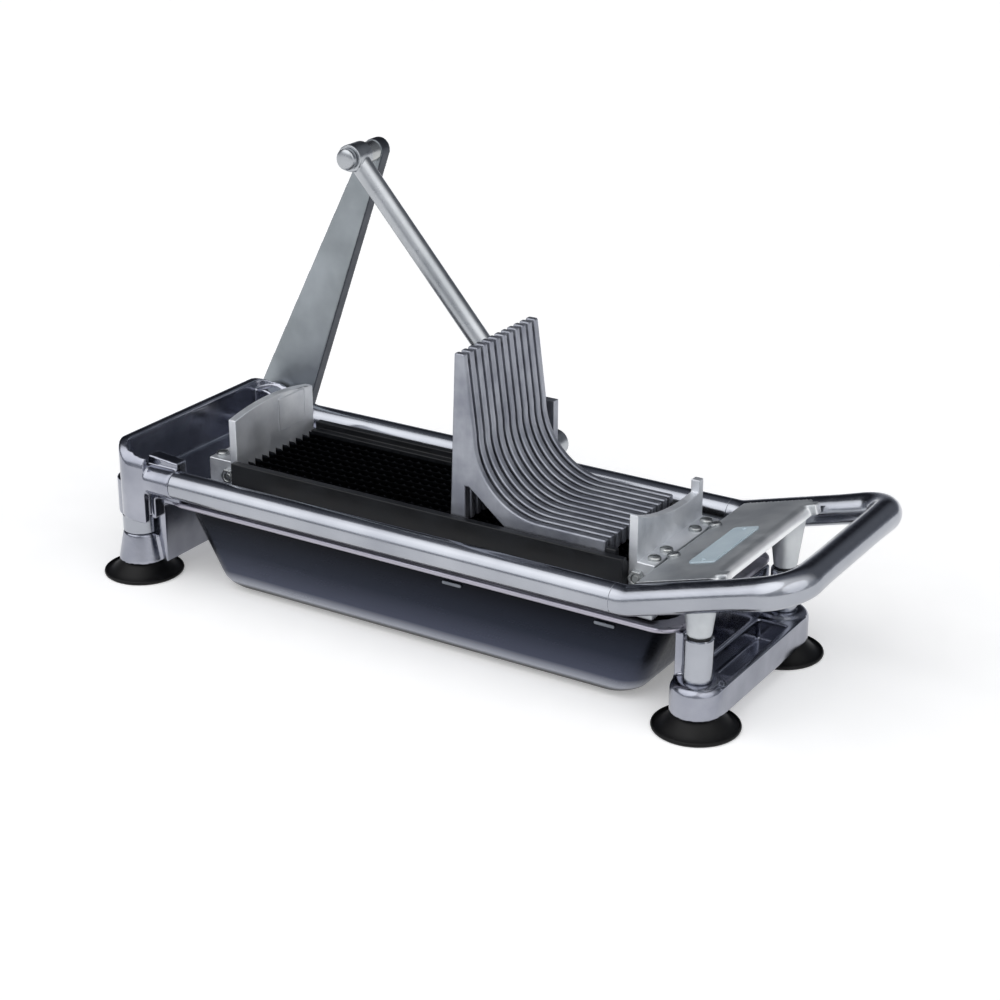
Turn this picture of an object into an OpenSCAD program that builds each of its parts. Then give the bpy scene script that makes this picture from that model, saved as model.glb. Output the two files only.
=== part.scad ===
// Bench fruit slicer: a comb-shaped pusher slides over a lengthwise blade bed,
// drawn by a swinging arm and a push rod. A catch pan hangs below the bed.
// Working frame: +X towards the hand grip, +Y towards the arm, Z up from the counter,
// with X = 0 half way between the feet and Y = 0 on the centre line of the bed.

/* [Feet] */
// Distance between front and rear feet
foot_pitch_x = 360; // [350:1:372]
// Distance between near and far feet
foot_pitch_y = 99; // [94:1:104]
// Outer diameter of a suction cup
cup_d = 46; // [40:1:50]
// Height of a suction cup
cup_h = 9; // [8:0.5:12]
// Diameter of the round boss over each cup
boss_d = 28; // [26:1:32]
// Height of the cross foot
foot_h = 17.5; // [16:0.5:24]
// Wall of the hollow cross foot
foot_wall = 4; // [3:0.5:6]
// Diameter of a front leg post
post_d = 15; // [12:0.5:16]
// Diameter of a rear leg post
rear_post_d = 21; // [18:0.5:22]
// Height of the front leg joint above the counter
front_joint_z = 50; // [46:0.5:52]
// Height of the rear leg joint above the counter
rear_joint_z = 37; // [35:0.5:39]
// Diameter of a leg bolt
leg_bolt_d = 6; // [5:0.5:8]
// Thickness of the washer in a leg joint
leg_washer_t = 1; // [0.6:0.2:2]

/* [Rails and grip] */
// Diameter of rails and grip loop
rail_d = 16; // [14:0.5:18]
// Distance between the rail axes
rail_pitch = 128; // [124:1:132]
// Height of the rail axes
rail_z = 67; // [66:0.5:69]
// Rear end of the rails, behind the middle
rail_rear = 139; // [136:1:142]
// Bend where the rails turn up into the grip loop
bend_x = 146.5; // [145:0.5:152]
// Forward reach of the grip loop from the bend
grip_reach = 87.5; // [80:0.5:100]
// Rise of the grip loop from the bend
grip_rise = 25; // [15:0.5:30]
// Distance between the corners of the grip loop
grip_pitch = 124; // [112:1:126]
// Bend radius of the loop corners
grip_bend_r = 17; // [12:1:24]
// Length of the loop's stub before the bend
stub_len = 6; // [5:0.5:8]
// Radius of the bend where the loop turns up
stub_bend_r = 25; // [20:1:30]
// Diameter of the spigots that plug the rails into the castings
spigot_d = 10; // [8:0.5:11]
// Length of those spigots
spigot_len = 6; // [4:0.5:7]

/* [End castings] */
// Top of the two decks that carry the blade frame
deck_z = 60; // [59:0.5:61]
// Thickness of the decks
deck_t = 5; // [3:0.5:5]
// Length of the nose plate along its slope
nose_len = 45; // [42:1:50]
// Thickness of the nose plate
nose_t = 5; // [3:0.5:6]
// Diameter of the rounded lip along the nose plate
nose_lip_d = 8; // [6:0.5:9]
// Outer face of the rear wall, behind the middle
rear_wall_x = 182; // [180:1:190]
// Thickness of the rear wall
rear_wall_t = 5; // [4:0.5:8]
// Top of the rear wall
rear_wall_top = 86; // [84:1:92]
// Bottom of the rear wall
rear_wall_foot = 42; // [41:0.5:46]
// Plan radius of the rear corners
rear_corner_r = 16; // [12:1:20]
// Radius of the upper corners of the rear wall, seen from behind
rear_shoulder_r = 14; // [8:1:16]
// Length of the rail sockets in the rear casting
socket_len = 24; // [18:1:26]
// Front end of the rear casting's side walls, behind the middle
side_wall_x = 157; // [155:0.5:160]
// Height of the socket tops above the rail axis
socket_rise = 14; // [12:0.5:18]

/* [Blade frame] */
// Number of blades
blade_count = 11; // [9:2:11]
// Distance between blades
blade_pitch = 6.35; // [6:0.05:6.4]
// Blade thickness
blade_t = 0.8; // [0.6:0.1:1.2]
// Blade height
blade_h = 12; // [10:0.5:12]
// Length of one blade serration
tooth_pitch = 6; // [4:0.5:10]
// Depth of the serrations
tooth_depth = 1.2; // [0.6:0.1:2]
// Diameter of the cross pins that hold the blade ends
blade_pin_d = 5; // [4:0.5:6]
// Width of a side bar
bar_w = 9; // [8:0.5:10]
// Height of the guide lip above the ledge that the comb slides on
lip_h = 3.8; // [2:0.2:5]
// Front face of the rear blade holder, behind the middle
rear_holder_x = 118; // [116:0.5:120]
// Rear face of the front blade holder
front_holder_x = 132; // [129:0.5:132]
// Thickness of the holder plates
holder_t = 5; // [4:0.5:6]
// Depth of the slotted holder blocks behind or before the plates
holder_block = 15; // [12:0.5:15]
// Top of the holder plates
holder_top = 100; // [92:1:110]
// Depth of the long hollow in the top of the front holder
holder_dip = 11.5; // [6:0.5:14]
// Width of the finger horn on the front holder
horn_w = 5; // [4:0.5:8]
// Step from the front holder's near end down to the top of the horn
horn_drop = 4; // [1:0.5:6]
// Rise of the crowned top of the rear holder
holder_crown = 4; // [1:0.5:6]
// Length of deck under each end of the side bars
bar_seat = 15; // [12:0.5:16]

/* [Comb] */
// Back edge of the comb at its top, with the comb run forward
comb_x = 28.5; // [24:0.5:30]
// Underside of the comb
comb_z = 73.5; // [73:0.25:74]
// Height of the comb above its underside
comb_h = 93; // [80:1:105]
// Thickness of one fin
fin_t = 4; // [3:0.1:4.4]
// Depth of a fin at its top
fin_top_w = 5.8; // [5:0.2:7]
// Depth of a fin from its top's back edge to the back of the seat
fin_depth = 11.5; // [9:0.5:13]
// Lean of a fin's back edge, from its foot to its top
fin_lean = 3.3; // [0:0.1:4]
// Width of the leg below the upright part of a fin
fin_leg_w = 9.3; // [8:0.1:10]
// Thickness of the flat part of a fin
fin_band = 9.2; // [8:0.1:10]
// Height of the three-cornered gap behind the seat
fin_gap_h = 20.5; // [16:0.5:21]
// Length of that gap along its foot
fin_gap_w = 27.4; // [20:0.2:29]
// Radius of the seat that the fruit lies in
seat_r = 40; // [34:1:44]
// Length of a fin from back to tip
fin_reach = 90.5; // [84:0.5:93]
// Thickness of the back plate that joins the fins
spine_t = 4.5; // [3:0.5:5]
// Diameter of the rods through the fins
tie_d = 3; // [2:0.5:3.5]

/* [Drive] */
// Pivot of the arm, behind the middle
pivot_x = 171.5; // [168:0.5:175]
// Height of the arm pivot
pivot_z = 66; // [62:0.5:70]
// Length of the arm between its pins
arm_len = 182.5; // [170:0.5:195]
// Lean of the arm above the horizontal, comb forward
arm_lean = 66.4; // [64:0.2:70]
// Thickness of the arm
arm_t = 8; // [6:0.5:10]
// Width of the arm at its pivot
arm_base_w = 37; // [30:1:40]
// Width of the arm at its top
arm_top_w = 13.5; // [12:0.5:18]
// Diameter of the pivot bolt
pivot_d = 10; // [8:0.5:12]
// Diameter of the push rod
rod_d = 12; // [10:0.5:13]
// Diameter of the round ends of the push rod
rod_eye_d = 15.5; // [14:0.5:17]
// Diameter of the pins at both ends of the push rod
link_pin_d = 7; // [6:0.5:8]
// Lower push rod pin ahead of the back edge of the comb's top
link_run = 2.5; // [2:0.25:4]
// Height of the lower push rod pin above the comb's underside
link_rise = 12.5; // [12:0.25:16]
// Gap between the push rod and the arm
link_gap = 10; // [8:0.5:14]
// Play of the lower pin in its upright slot, front and back
slot_play = 1.2; // [1.1:0.1:1.6]

/* [Pan] */
// Height of the pan rim above the counter
pan_rim_z = 53.5; // [52:0.5:54]
// Thickness of the pan rim
pan_rim_t = 3.6; // [2:0.2:4]
// Width of the pan rim
pan_rim_w = 6; // [4.5:0.5:7]
// Width of the pan over its rim
pan_w = 118; // [108:1:122]
// Height of the pan bottom above the counter
pan_foot = 2; // [1:0.5:5]
// Sheet thickness of the pan
pan_t = 1.5; // [1.2:0.1:2]
// Inward run of the pan's end walls
pan_end_run = 24; // [16:1:30]
// Inward run of the pan's side walls
pan_side_run = 6; // [3:0.5:12]
// Radius of the pan's upright corners
pan_corner_r = 14; // [10:1:18]

/* [Hidden] */
$fn = 64;
// Clearances: between moving pieces, beside fixed pieces, round a turning pin and round
// a fixed pin (the last two radial)
gap = 0.3;
fit_gap = 0.1;
run_gap = 0.05;
seat_gap = 0.02;

foot_x = foot_pitch_x / 2;
foot_y = foot_pitch_y / 2;
// The rear legs stand in sockets a little wider than the posts
rear_socket_d = rear_post_d + 3;
foot_top = cup_h + foot_h;
rail_r = rail_d / 2;
rail_y = rail_pitch / 2;

// Suction cup and leg bolt
cup_web_z = 0.6 * cup_h;
cup_rim_w = 4;
bolt_head_d = 2 * leg_bolt_d;
bolt_head_h = cup_web_z / 2;
bolt_grip = 12;

// Grip loop: a flat loop that is tilted about the line through the bends
grip_tilt = atan(grip_rise / grip_reach);
grip_run = norm([grip_reach, grip_rise]);
grip_toe = atan((rail_y - grip_pitch / 2) / grip_run);
stub_turn = acos(cos(grip_tilt) * cos(grip_toe));
stub_cut = stub_bend_r * tan(stub_turn / 2);
corner_turn = 90 - grip_toe;
corner_cut = grip_bend_r * tan(corner_turn / 2);
arm_run = norm([grip_run, rail_y - grip_pitch / 2]);
// The bends are elbows, a little stouter than the straight bars that plug into them
elbow_d = rail_d + 0.8;
elbow_plug = 2;
grip_half = grip_pitch / 2 - corner_cut;

// Blade frame, from the fins outwards
fin_count = blade_count + 1;
comb_half = (fin_count - 1) * blade_pitch / 2 + fin_t / 2;
ledge_z = comb_z - gap;
blade_top = comb_z - 1;
bar_in = comb_half - fin_t + fit_gap;
bar_lip_in = comb_half + 0.5;
bar_out = bar_in + bar_w;
bar_mid = (bar_in + bar_out) / 2;
holder_half = comb_half - 1;
holder_rear = -(rear_holder_x + holder_t + holder_block);
holder_front = front_holder_x + holder_block;
holder_block_top = blade_top + 2.5;
pin_step = 5.5;
pin_rear_x = -(rear_holder_x + pin_step);
pin_front_x = front_holder_x + pin_step;
blade_base = blade_top - blade_h;
pin_z = blade_base + blade_h / 2;
nut_t = 3;
stop_l = 6;
stop_h = 6;
// Where the long hollow of the front holder is lowest
hollow_y = holder_half / 2;
// Pad on the rear holder that stops the comb's back
pad_t = 0.6;
pad_y = [3, 27];
pad_z = [holder_top - 18, holder_top + 1];
// Screws: side bars from below, holders from above, nose plate from above
screw_d = 4;
screw_head_d = 7;
screw_head_h = 2.2;
screw_bite = 8;
deck_bite = 4;
holder_screw_step = 4;
nose_screw_run = 7;
nose_screw_y = 23;

// Comb seat
seat_x = comb_x + fin_depth + seat_r;
seat_z = comb_z + fin_band + seat_r;

// Drive, from the far rail outwards
arm_in = rail_y + rail_r + 2;
arm_out = arm_in + arm_t;
rod_out = arm_in - link_gap;
rod_eye_t = rod_d + 1;
rod_y = rod_out - rod_eye_t / 2;
rod_in = rod_out - rod_eye_t;
pivot_head_t = 5;
bush_d = pivot_d + 4;
pivot_face = arm_in - gap - 1.1;
apex = [-pivot_x + arm_len * cos(arm_lean), pivot_z + arm_len * sin(arm_lean)];
link = [comb_x + link_run, comb_z + link_rise];
rod_len = norm(apex - link);
rod_angle = atan2(apex[1] - link[1], link[0] - apex[0]);
link_lift = arm_len * (1 - sin(arm_lean));
ear_in = bar_lip_in + bar_w - 4;
ear_t = 5;
ear_out = ear_in + ear_t;
ear_wall = 5.5;
ear_foot = 3.2;
ear_half = link_pin_d / 2 + slot_play + ear_wall;
clip_d = link_pin_d + 5;
// The comb's back plate, clear above the clip at the top of its rise
spine_low = link[1] + link_lift + clip_d / 2 + 1;
spine_drop = 8;
spine_top = comb_z + comb_h - spine_drop;
spine_rear = comb_x - 0.2;
spine_front = spine_rear + spine_t;
bridge_h = 10;
groove_d = 3;
rib_w = blade_pitch - fin_t - 2 * fit_gap;

// Pan, from the front posts to the rear side walls, on a ledge of each cross foot
pan_front = foot_x - post_d / 2 - 1;
pan_rear = side_wall_x - 1.5;
pan_mid = (pan_front - pan_rear) / 2;
pan_l = pan_front + pan_rear;
ledge_w = pan_rim_w - 1;
ledge_t = 4;
ledge_top = pan_rim_z - pan_rim_t - gap;
lug_l = 12;
lug_h = 2;
lug_drop = 9;
lug_places = [36, 128];
lug_y = pan_w / 2 - pan_rim_w - pan_side_run * lug_drop / (pan_rim_z - pan_foot);

// The middle of the overall box, which the part is centred on
box_x = [-foot_x - cup_d / 2, bend_x + grip_reach + elbow_d / 2];
box_y = [-max(foot_y + cup_d / 2, rail_y + elbow_d / 2), arm_out + gap + pivot_head_t];
middle = [(box_x[0] + box_x[1]) / 2, (box_y[0] + box_y[1]) / 2, 0];

polished = "#b8bac2";
satin = "#8a8c92";
dark = "#3a3c44";
stainless = "#6c7080";

// Shared shapes

// Puts a piece drawn in the working frame into the part's own frame
module placed() {
    translate(-middle) children();
}

// A flat XZ outline given a thickness along Y, from y0 towards +Y
module across(y0, thick) {
    translate([0, y0 + thick, 0]) rotate([90, 0, 0]) linear_extrude(thick) children();
}

// A round bar along Y from y0 to y1, with its axis at (x, z)
module bar_y(x, z, d, y0, y1) {
    translate([x, y0, z]) rotate([-90, 0, 0]) cylinder(d = d, h = y1 - y0);
}

// A round bar along X
module bar_x(y, z, d, x0, x1) {
    translate([x0, y, z]) rotate([0, 90, 0]) cylinder(d = d, h = x1 - x0);
}

// A box from one corner to the other
module block(low, high) {
    translate(low) cube(high - low);
}

module ring(d_out, d_in, h) {
    difference() {
        cylinder(d = d_out, h = h);
        translate([0, 0, -1]) cylinder(d = d_in, h = h + 2);
    }
}

// A rectangle with round corners, centred
module rounded_plate(l, w, r) {
    square([l - 2 * r, w], center = true);
    square([l, w - 2 * r], center = true);
    for (sx = [-1, 1], sy = [-1, 1]) translate([sx * (l / 2 - r), sy * (w / 2 - r)]) circle(r);
}

// The tilted plane of the grip loop and nose plate, with its origin between the bends
module grip_plane() {
    translate([bend_x, 0, rail_z]) rotate([0, -grip_tilt, 0]) children();
}

// One straight side of the loop, from start to end along it, for side = -1 or 1
module loop_side(side, d, start, end) {
    translate([0, side * rail_y, 0]) rotate([0, 0, -side * grip_toe]) rotate([0, 90, 0])
        translate([0, 0, start]) cylinder(d = d, h = end - start);
}

// Both places of a foot pair
module at_feet(x) {
    for (side = [-1, 1]) translate([x, side * foot_y, 0]) children();
}

// Frame

// Side outline of the rear casting: high at the back, falling to the rail sockets
module rear_outline() {
    socket_top = rail_z + socket_rise;
    wing_x = -rail_rear - socket_len;
    fall = rear_wall_top - socket_top;
    web_fall = 2;
    sweep = [for (a = [90:-15:0]) [wing_x - fall * sin(a), rear_wall_top - fall * cos(a)]];
    polygon(concat(
        [[-rear_wall_x - 1, rear_wall_foot], [-rear_wall_x - 1, rear_wall_top]], sweep,
        [[-rail_rear, socket_top - web_fall], [-rail_rear, rear_wall_foot]]));
}

// Plan of the rear casting, as a solid tongue with round rear corners
module rear_plan(inset) {
    half = rail_y + rail_r - inset;
    back = -rear_wall_x + inset;
    r = max(rear_corner_r - inset, 2);
    translate([back + r, -half]) square([-rail_rear - back - r, 2 * half]);
    translate([back, -half + r]) square([-rail_rear - back, 2 * (half - r)]);
    for (side = [-1, 1]) translate([back + r, side * (half - r)]) circle(r);
}

// The rear casting seen from behind, with round upper corners
module rear_section() {
    half = rail_y + rail_r;
    shoulder = [for (a = [0:10:90]) [half, rear_wall_top] + rear_shoulder_r * [cos(a) - 1, sin(a) - 1]];
    polygon(concat([[half, rear_wall_foot]], shoulder,
                   [for (i = [len(shoulder) - 1:-1:0]) [-shoulder[i][0], shoulder[i][1]]], [[-half, rear_wall_foot]]));
}

// Plan of the wall round the back and of the thinner webs that carry the rail sockets
module rear_walls() {
    web_in = rail_y - rail_r - 2;
    web_t = 9;
    difference() {
        rear_plan(0);
        rear_plan(rear_wall_t);
        translate([-side_wall_x, -rail_pitch]) square(2 * rail_pitch);
    }
    for (side = [-1, 1]) translate([-side_wall_x - 3, side * (web_in + web_t / 2) - web_t / 2])
        square([side_wall_x + 3 - rail_rear, web_t]);
}

module rear_casting() color(polished) placed() difference() {
    union() {
        intersection() {
            across(-rail_y - rail_r, 2 * (rail_y + rail_r)) rear_outline();
            translate([0, 0, rear_wall_foot]) linear_extrude(rear_wall_top) rear_walls();
            translate([-rear_wall_x - 1, 0, 0]) rotate([90, 0, 90]) linear_extrude(rear_wall_x) rear_section();
        }
        // Round rail sockets
        for (side = [-1, 1])
            bar_x(side * rail_y, rail_z, elbow_d, -rail_rear - socket_len, -rail_rear);
        // Deck under the blade frame
        block([-rear_wall_x + rear_wall_t / 2, -rail_y + rail_r - fit_gap, deck_z - deck_t],
              [-rear_holder_x + bar_seat, rail_y - rail_r + fit_gap, deck_z]);
        // Round seat of the arm pivot, through the far side of the casting
        bar_y(-pivot_x, pivot_z, arm_base_w - 7, rail_y - rail_r, pivot_face);
        // Leg sockets
        at_feet(-foot_x) translate([0, 0, rear_joint_z + leg_washer_t])
            cylinder(d = rear_socket_d, h = deck_z - rear_joint_z - leg_washer_t);
    }
    // Under the webs the pan's rim slides through
    block([-side_wall_x, -rail_pitch, 0], [0, rail_pitch, deck_z - deck_t]);
    for (side = [-1, 1])
        bar_x(side * rail_y, rail_z, spigot_d + fit_gap, -rail_rear - spigot_len - fit_gap, -rail_rear + 1);
    bar_y(-pivot_x, pivot_z, pivot_d - 2 + 2 * seat_gap, rail_y - rail_r + 4, pivot_face + 1);
    at_feet(-foot_x) translate([0, 0, rear_joint_z])
        cylinder(d = leg_bolt_d + 2 * seat_gap, h = bolt_grip + leg_washer_t);
    // Room for the deck side edges beside the rails
    for (side = [-1, 1])
        bar_x(side * rail_y, rail_z, rail_d + 2 * fit_gap, -rail_rear, 0);
    deck_holes();
}

// A rail, turned down to a spigot at both ends
module rail(side) {
    color(polished) placed() {
        bar_x(side * rail_y, rail_z, rail_d, -rail_rear, bend_x - stub_len);
        bar_x(side * rail_y, rail_z, spigot_d, -rail_rear - spigot_len, bend_x - stub_len + spigot_len);
    }
}

module near_rail() rail(-1);

module far_rail() rail(1);

// Far half of the loop: its stub, the bend, the side and the corner
module loop_half() {
    roll = atan2(sin(grip_tilt) * cos(grip_toe), -sin(grip_toe));
    bar_x(rail_y, rail_z, rail_d, bend_x - stub_len, bend_x - stub_cut + elbow_plug);
    translate([bend_x, rail_y, rail_z]) rotate([roll, 0, 0]) translate([-stub_cut, stub_bend_r, 0])
        rotate([0, 0, -90]) rotate_extrude(angle = stub_turn) translate([stub_bend_r, 0]) circle(d = elbow_d);
    grip_plane() loop_side(1, rail_d, stub_cut - elbow_plug, arm_run - corner_cut + elbow_plug);
    grip_plane() translate([grip_run - grip_bend_r, grip_half, 0])
        rotate_extrude(angle = corner_turn) translate([grip_bend_r, 0]) circle(d = elbow_d);
}

// Round bar loop: two sides that close in and rise, two bent corners and the grip
module grip_loop() color(polished) placed() difference() {
    union() {
        loop_half();
        mirror([0, 1, 0]) loop_half();
        grip_plane() translate([grip_run, -grip_half - elbow_plug, 0]) rotate([-90, 0, 0])
            cylinder(d = rail_d, h = 2 * (grip_half + elbow_plug));
    }
    for (side = [-1, 1]) bar_x(side * rail_y, rail_z, spigot_d + fit_gap, bend_x - stub_len - 1,
                               bend_x - stub_len + spigot_len + fit_gap);
}

// Sloping plate inside the loop, its deck for the blade frame and its two leg sockets
module nose_casting() color(polished) placed() {
    wall_x = holder_front + 2;
    wall_t = 8;
    nose_rear = 5;
    plate_z = rail_r - nose_t;
    lug = [8, 6, 6];
    lug_place = rail_y - nose_len * tan(grip_toe) - elbow_d / 2 - lug[1] / 2;
    difference() {
        union() {
            grip_plane() {
                translate([0, 0, plate_z]) linear_extrude(nose_t) polygon([
                    [nose_rear, -rail_y], [nose_len, -rail_y], [nose_len, rail_y], [nose_rear, rail_y]]);
                translate([nose_len, -rail_y, rail_r - nose_lip_d / 2]) rotate([-90, 0, 0])
                    cylinder(d = nose_lip_d, h = rail_pitch);
                // Square lugs at the ends of the lip
                for (side = [-1, 1]) translate([nose_len, side * lug_place - lug[1] / 2, rail_r - lug[2]])
                    cube(lug);
            }
            block([front_holder_x - bar_seat, -rail_y + rail_r - fit_gap, deck_z - deck_t],
                  [wall_x + wall_t, rail_y - rail_r + fit_gap, deck_z]);
            block([wall_x, -rail_y + rail_r - fit_gap, deck_z - deck_t],
                  [wall_x + wall_t, rail_y - rail_r + fit_gap, rail_z + rail_r]);
            at_feet(foot_x) translate([0, 0, front_joint_z + leg_washer_t])
                cylinder(d1 = post_d - 2.5, d2 = post_d + 5, h = rail_z + grip_rise / 2 - front_joint_z);
        }
        // Room for the rails and the loop
        for (side = [-1, 1]) bar_x(side * rail_y, rail_z, elbow_d + 2 * fit_gap, 0, bend_x + rail_r);
        grip_plane() for (side = [-1, 1]) {
            loop_side(side, elbow_d + 2 * fit_gap, -rail_r, arm_run);
            // Nothing of the plate stands outside the loop
            translate([0, side * rail_y, -rail_d]) rotate([0, 0, -side * grip_toe])
                translate([-10, side > 0 ? 0 : -rail_d, 0]) cube([arm_run, rail_d, 2 * rail_d]);
        }
        // Above the top of the loop nothing stands
        grip_plane() translate([-20, -rail_y, rail_r]) cube([grip_run, rail_pitch, rail_d]);
        at_feet(foot_x) translate([0, 0, front_joint_z])
            cylinder(d = leg_bolt_d + 2 * seat_gap, h = bolt_grip + leg_washer_t);
        deck_holes();
        nose_screw_places() translate([0, 0, -screw_bite - 1])
            cylinder(d = screw_d + 2 * seat_gap, h = screw_bite + screw_head_h);
    }
}

// Screw places on the nose plate, in the tilted plane
module nose_screw_places() {
    grip_plane() for (side = [-1, 1]) translate([nose_screw_run, side * nose_screw_y, rail_r]) children();
}

module nose_screws() color(satin) placed() nose_screw_places() union() {
    translate([0, 0, -screw_bite]) cylinder(d = screw_d, h = screw_bite);
    cylinder(d = screw_head_d, h = screw_head_h);
}

// Feet

// Hollow cross foot with a boss over each cup and a ledge for the pan rim; dir = 1 front, with
// low round bosses, -1 rear, with tapered ones
module cross_foot(dir) {
    round_top = 5;
    inner_wall = foot_x - (dir > 0 ? post_d : rear_socket_d) / 2 - 1 - ledge_w;
    shelf = (dir > 0 ? pan_front : pan_rear) - ledge_w;
    half_w = (dir > 0 ? boss_d : rear_post_d) / 2;
    color(polished) placed() mirror([dir < 0 ? 1 : 0, 0, 0]) difference() {
        union() {
            at_feet(foot_x) translate([0, 0, cup_h]) {
                if (dir > 0) rotate_extrude() union() {
                    square([boss_d / 2, foot_h - round_top]);
                    square([boss_d / 2 - round_top, foot_h]);
                    translate([boss_d / 2 - round_top, foot_h - round_top]) circle(round_top);
                }
                else cylinder(d1 = boss_d, d2 = rear_post_d, h = foot_h);
            }
            block([min(inner_wall, foot_x - half_w), -foot_y, cup_h], [foot_x + half_w, foot_y, foot_top - 2]);
            block([inner_wall, -foot_y, cup_h + 2], [inner_wall + ledge_w, foot_y, ledge_top]);
            block([shelf, -foot_y, ledge_top - ledge_t], [inner_wall + ledge_w, foot_y, ledge_top]);
        }
        block([inner_wall + ledge_w + foot_wall / 2, -foot_y + boss_d / 2 + 2, cup_h + foot_wall],
              [foot_x + half_w - foot_wall, foot_y - boss_d / 2 - 2, foot_top + 1]);
        at_feet(foot_x) cylinder(d = leg_bolt_d + 2 * fit_gap, h = foot_top + 1);
    }
}

module front_foot() cross_foot(1);

module rear_foot() cross_foot(-1);

module posts(x, d, joint_z) {
    color(polished) placed() at_feet(x) translate([0, 0, foot_top])
        ring(d, leg_bolt_d + 2 * fit_gap, joint_z - foot_top);
}

module front_posts() posts(foot_x, post_d, front_joint_z);

module rear_posts() posts(-foot_x, rear_post_d, rear_joint_z);

module cup(x_side, y_side) {
    neck_r = boss_d / 2 - 4;
    hole_r = leg_bolt_d / 2 + fit_gap;
    color("#101012") placed() translate([x_side * foot_x, y_side * foot_y, 0]) rotate_extrude() polygon([
        [hole_r, cup_web_z], [hole_r, cup_h], [neck_r, cup_h], [neck_r + 1, cup_h - 2],
        [neck_r + 4, cup_h / 2], [cup_d / 2 - 2, cup_h / 4], [cup_d / 2, cup_h / 8], [cup_d / 2, 0],
        [cup_d / 2 - cup_rim_w, 0], [bolt_head_d / 2 + 3, cup_web_z - 1], [bolt_head_d / 2 + 1, cup_web_z]]);
}

module front_near_cup() cup(1, -1);

module front_far_cup() cup(1, 1);

module rear_near_cup() cup(-1, -1);

module rear_far_cup() cup(-1, 1);

module leg_bolts() color(satin) placed() for (end = [[foot_x, front_joint_z], [-foot_x, rear_joint_z]])
    at_feet(end[0]) {
        translate([0, 0, cup_web_z - bolt_head_h]) cylinder(d = bolt_head_d, h = bolt_head_h);
        translate([0, 0, cup_web_z]) cylinder(d = leg_bolt_d, h = end[1] + bolt_grip - cup_web_z);
    }

module leg_washers() color(dark) placed()
    for (end = [[foot_x, front_joint_z, post_d], [-foot_x, rear_joint_z, rear_post_d]])
        at_feet(end[0]) translate([0, 0, end[1]]) ring(end[2] - 3, leg_bolt_d + 2 * fit_gap, leg_washer_t);

// Blade frame

// Side bar between the holders, with a ledge and a lip that guide the comb
module side_bar(side) {
    rear = -rear_holder_x + fit_gap;
    color(dark) placed() difference() {
        translate([rear, 0, 0]) rotate([90, 0, 90]) linear_extrude(front_holder_x - fit_gap - rear)
            mirror([side < 0 ? 1 : 0, 0]) polygon([
                [bar_in, deck_z], [bar_out, deck_z], [bar_out, ledge_z + lip_h],
                [bar_lip_in, ledge_z + lip_h], [bar_lip_in, ledge_z], [bar_in, ledge_z]]);
        bar_screw_places() cylinder(d = screw_d + 2 * seat_gap, h = deck_z + screw_bite + fit_gap);
    }
}

module near_side_bar() side_bar(-1);

module far_side_bar() side_bar(1);

module bar_screw_places() {
    for (x = [-rear_holder_x + bar_seat / 2, front_holder_x - bar_seat / 2], side = [-1, 1])
        translate([x, side * bar_mid, 0]) children();
}

// Two screws near each end of a holder, in the lands between the blade slots
module holder_screw_places() {
    for (x = [holder_rear + holder_screw_step, holder_front - holder_screw_step], side = [-1, 1], land = [1, 3])
        translate([x, side * (blade_count / 2 - land) * blade_pitch, 0]) children();
}

// Holes in the decks for all screws of the blade frame, sunk from below for the side bars'
module deck_holes() {
    bar_screw_places() {
        cylinder(d = screw_d + 2 * seat_gap, h = deck_z + 1);
        cylinder(d = screw_head_d + 2 * fit_gap, h = deck_z - deck_t + screw_head_h);
    }
    holder_screw_places() translate([0, 0, deck_z - deck_bite - fit_gap])
        cylinder(d = screw_d + 2 * seat_gap, h = deck_t);
}

module bar_screws() color(satin) placed() bar_screw_places() {
    translate([0, 0, deck_z - deck_t]) cylinder(d = screw_head_d, h = screw_head_h);
    translate([0, 0, deck_z - deck_t + screw_head_h / 2])
        cylinder(d = screw_d, h = deck_t - screw_head_h / 2 + screw_bite);
}

module holder_screws() color(satin) placed() holder_screw_places() {
    translate([0, 0, holder_block_top]) cylinder(d = screw_head_d, h = screw_head_h);
    translate([0, 0, deck_z - deck_bite]) cylinder(d = screw_d, h = holder_block_top - deck_z + deck_bite + 1);
}

// Buffers on the ledges, where the tips of the outer fins come to rest
module comb_stops() color(dark) placed() for (side = [-1, 1]) {
    mid = (bar_in + bar_lip_in) / 2;
    half = (bar_lip_in - bar_in) / 2 - fit_gap;
    block([comb_x + fin_reach + gap, side * mid - half, ledge_z],
          [comb_x + fin_reach + gap + stop_l, side * mid + half, ledge_z + stop_h]);
}

function blade_place(i) = (i - (blade_count - 1) / 2) * blade_pitch;

// Slots that take the blade ends, the hole for their cross pin and the holes for the screws
module holder_holes(pin_x) {
    slot_w = blade_t + 2 * fit_gap;
    for (i = [0:blade_count - 1]) translate([holder_rear - 1, blade_place(i) - slot_w / 2, deck_z - 1])
        cube([holder_front - holder_rear + 2, slot_w, blade_top + gap - deck_z + 1]);
    bar_y(pin_x, pin_z, blade_pin_d + 2 * fit_gap, -bar_out, bar_out);
    holder_screw_places() cylinder(d = screw_d + 2 * seat_gap, h = holder_block_top + 1);
}

// Front plate, seen along X: a long hollow in its top, from the near end to the horn
module front_plate() {
    run = hollow_y + holder_half;
    hollow_r = (run * run + holder_dip * holder_dip) / (2 * holder_dip);
    horn_in = holder_half - horn_w;
    difference() {
        translate([-holder_half, deck_z]) square([2 * holder_half, holder_top - deck_z]);
        intersection() {
            translate([hollow_y, holder_top - holder_dip + hollow_r]) circle(hollow_r, $fn = 180);
            translate([-holder_half - 1, deck_z]) square([horn_in + holder_half + 1, holder_top]);
        }
        translate([horn_in - 1, holder_top - horn_drop]) square([horn_w + 2, horn_drop + 1]);
    }
}

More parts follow.
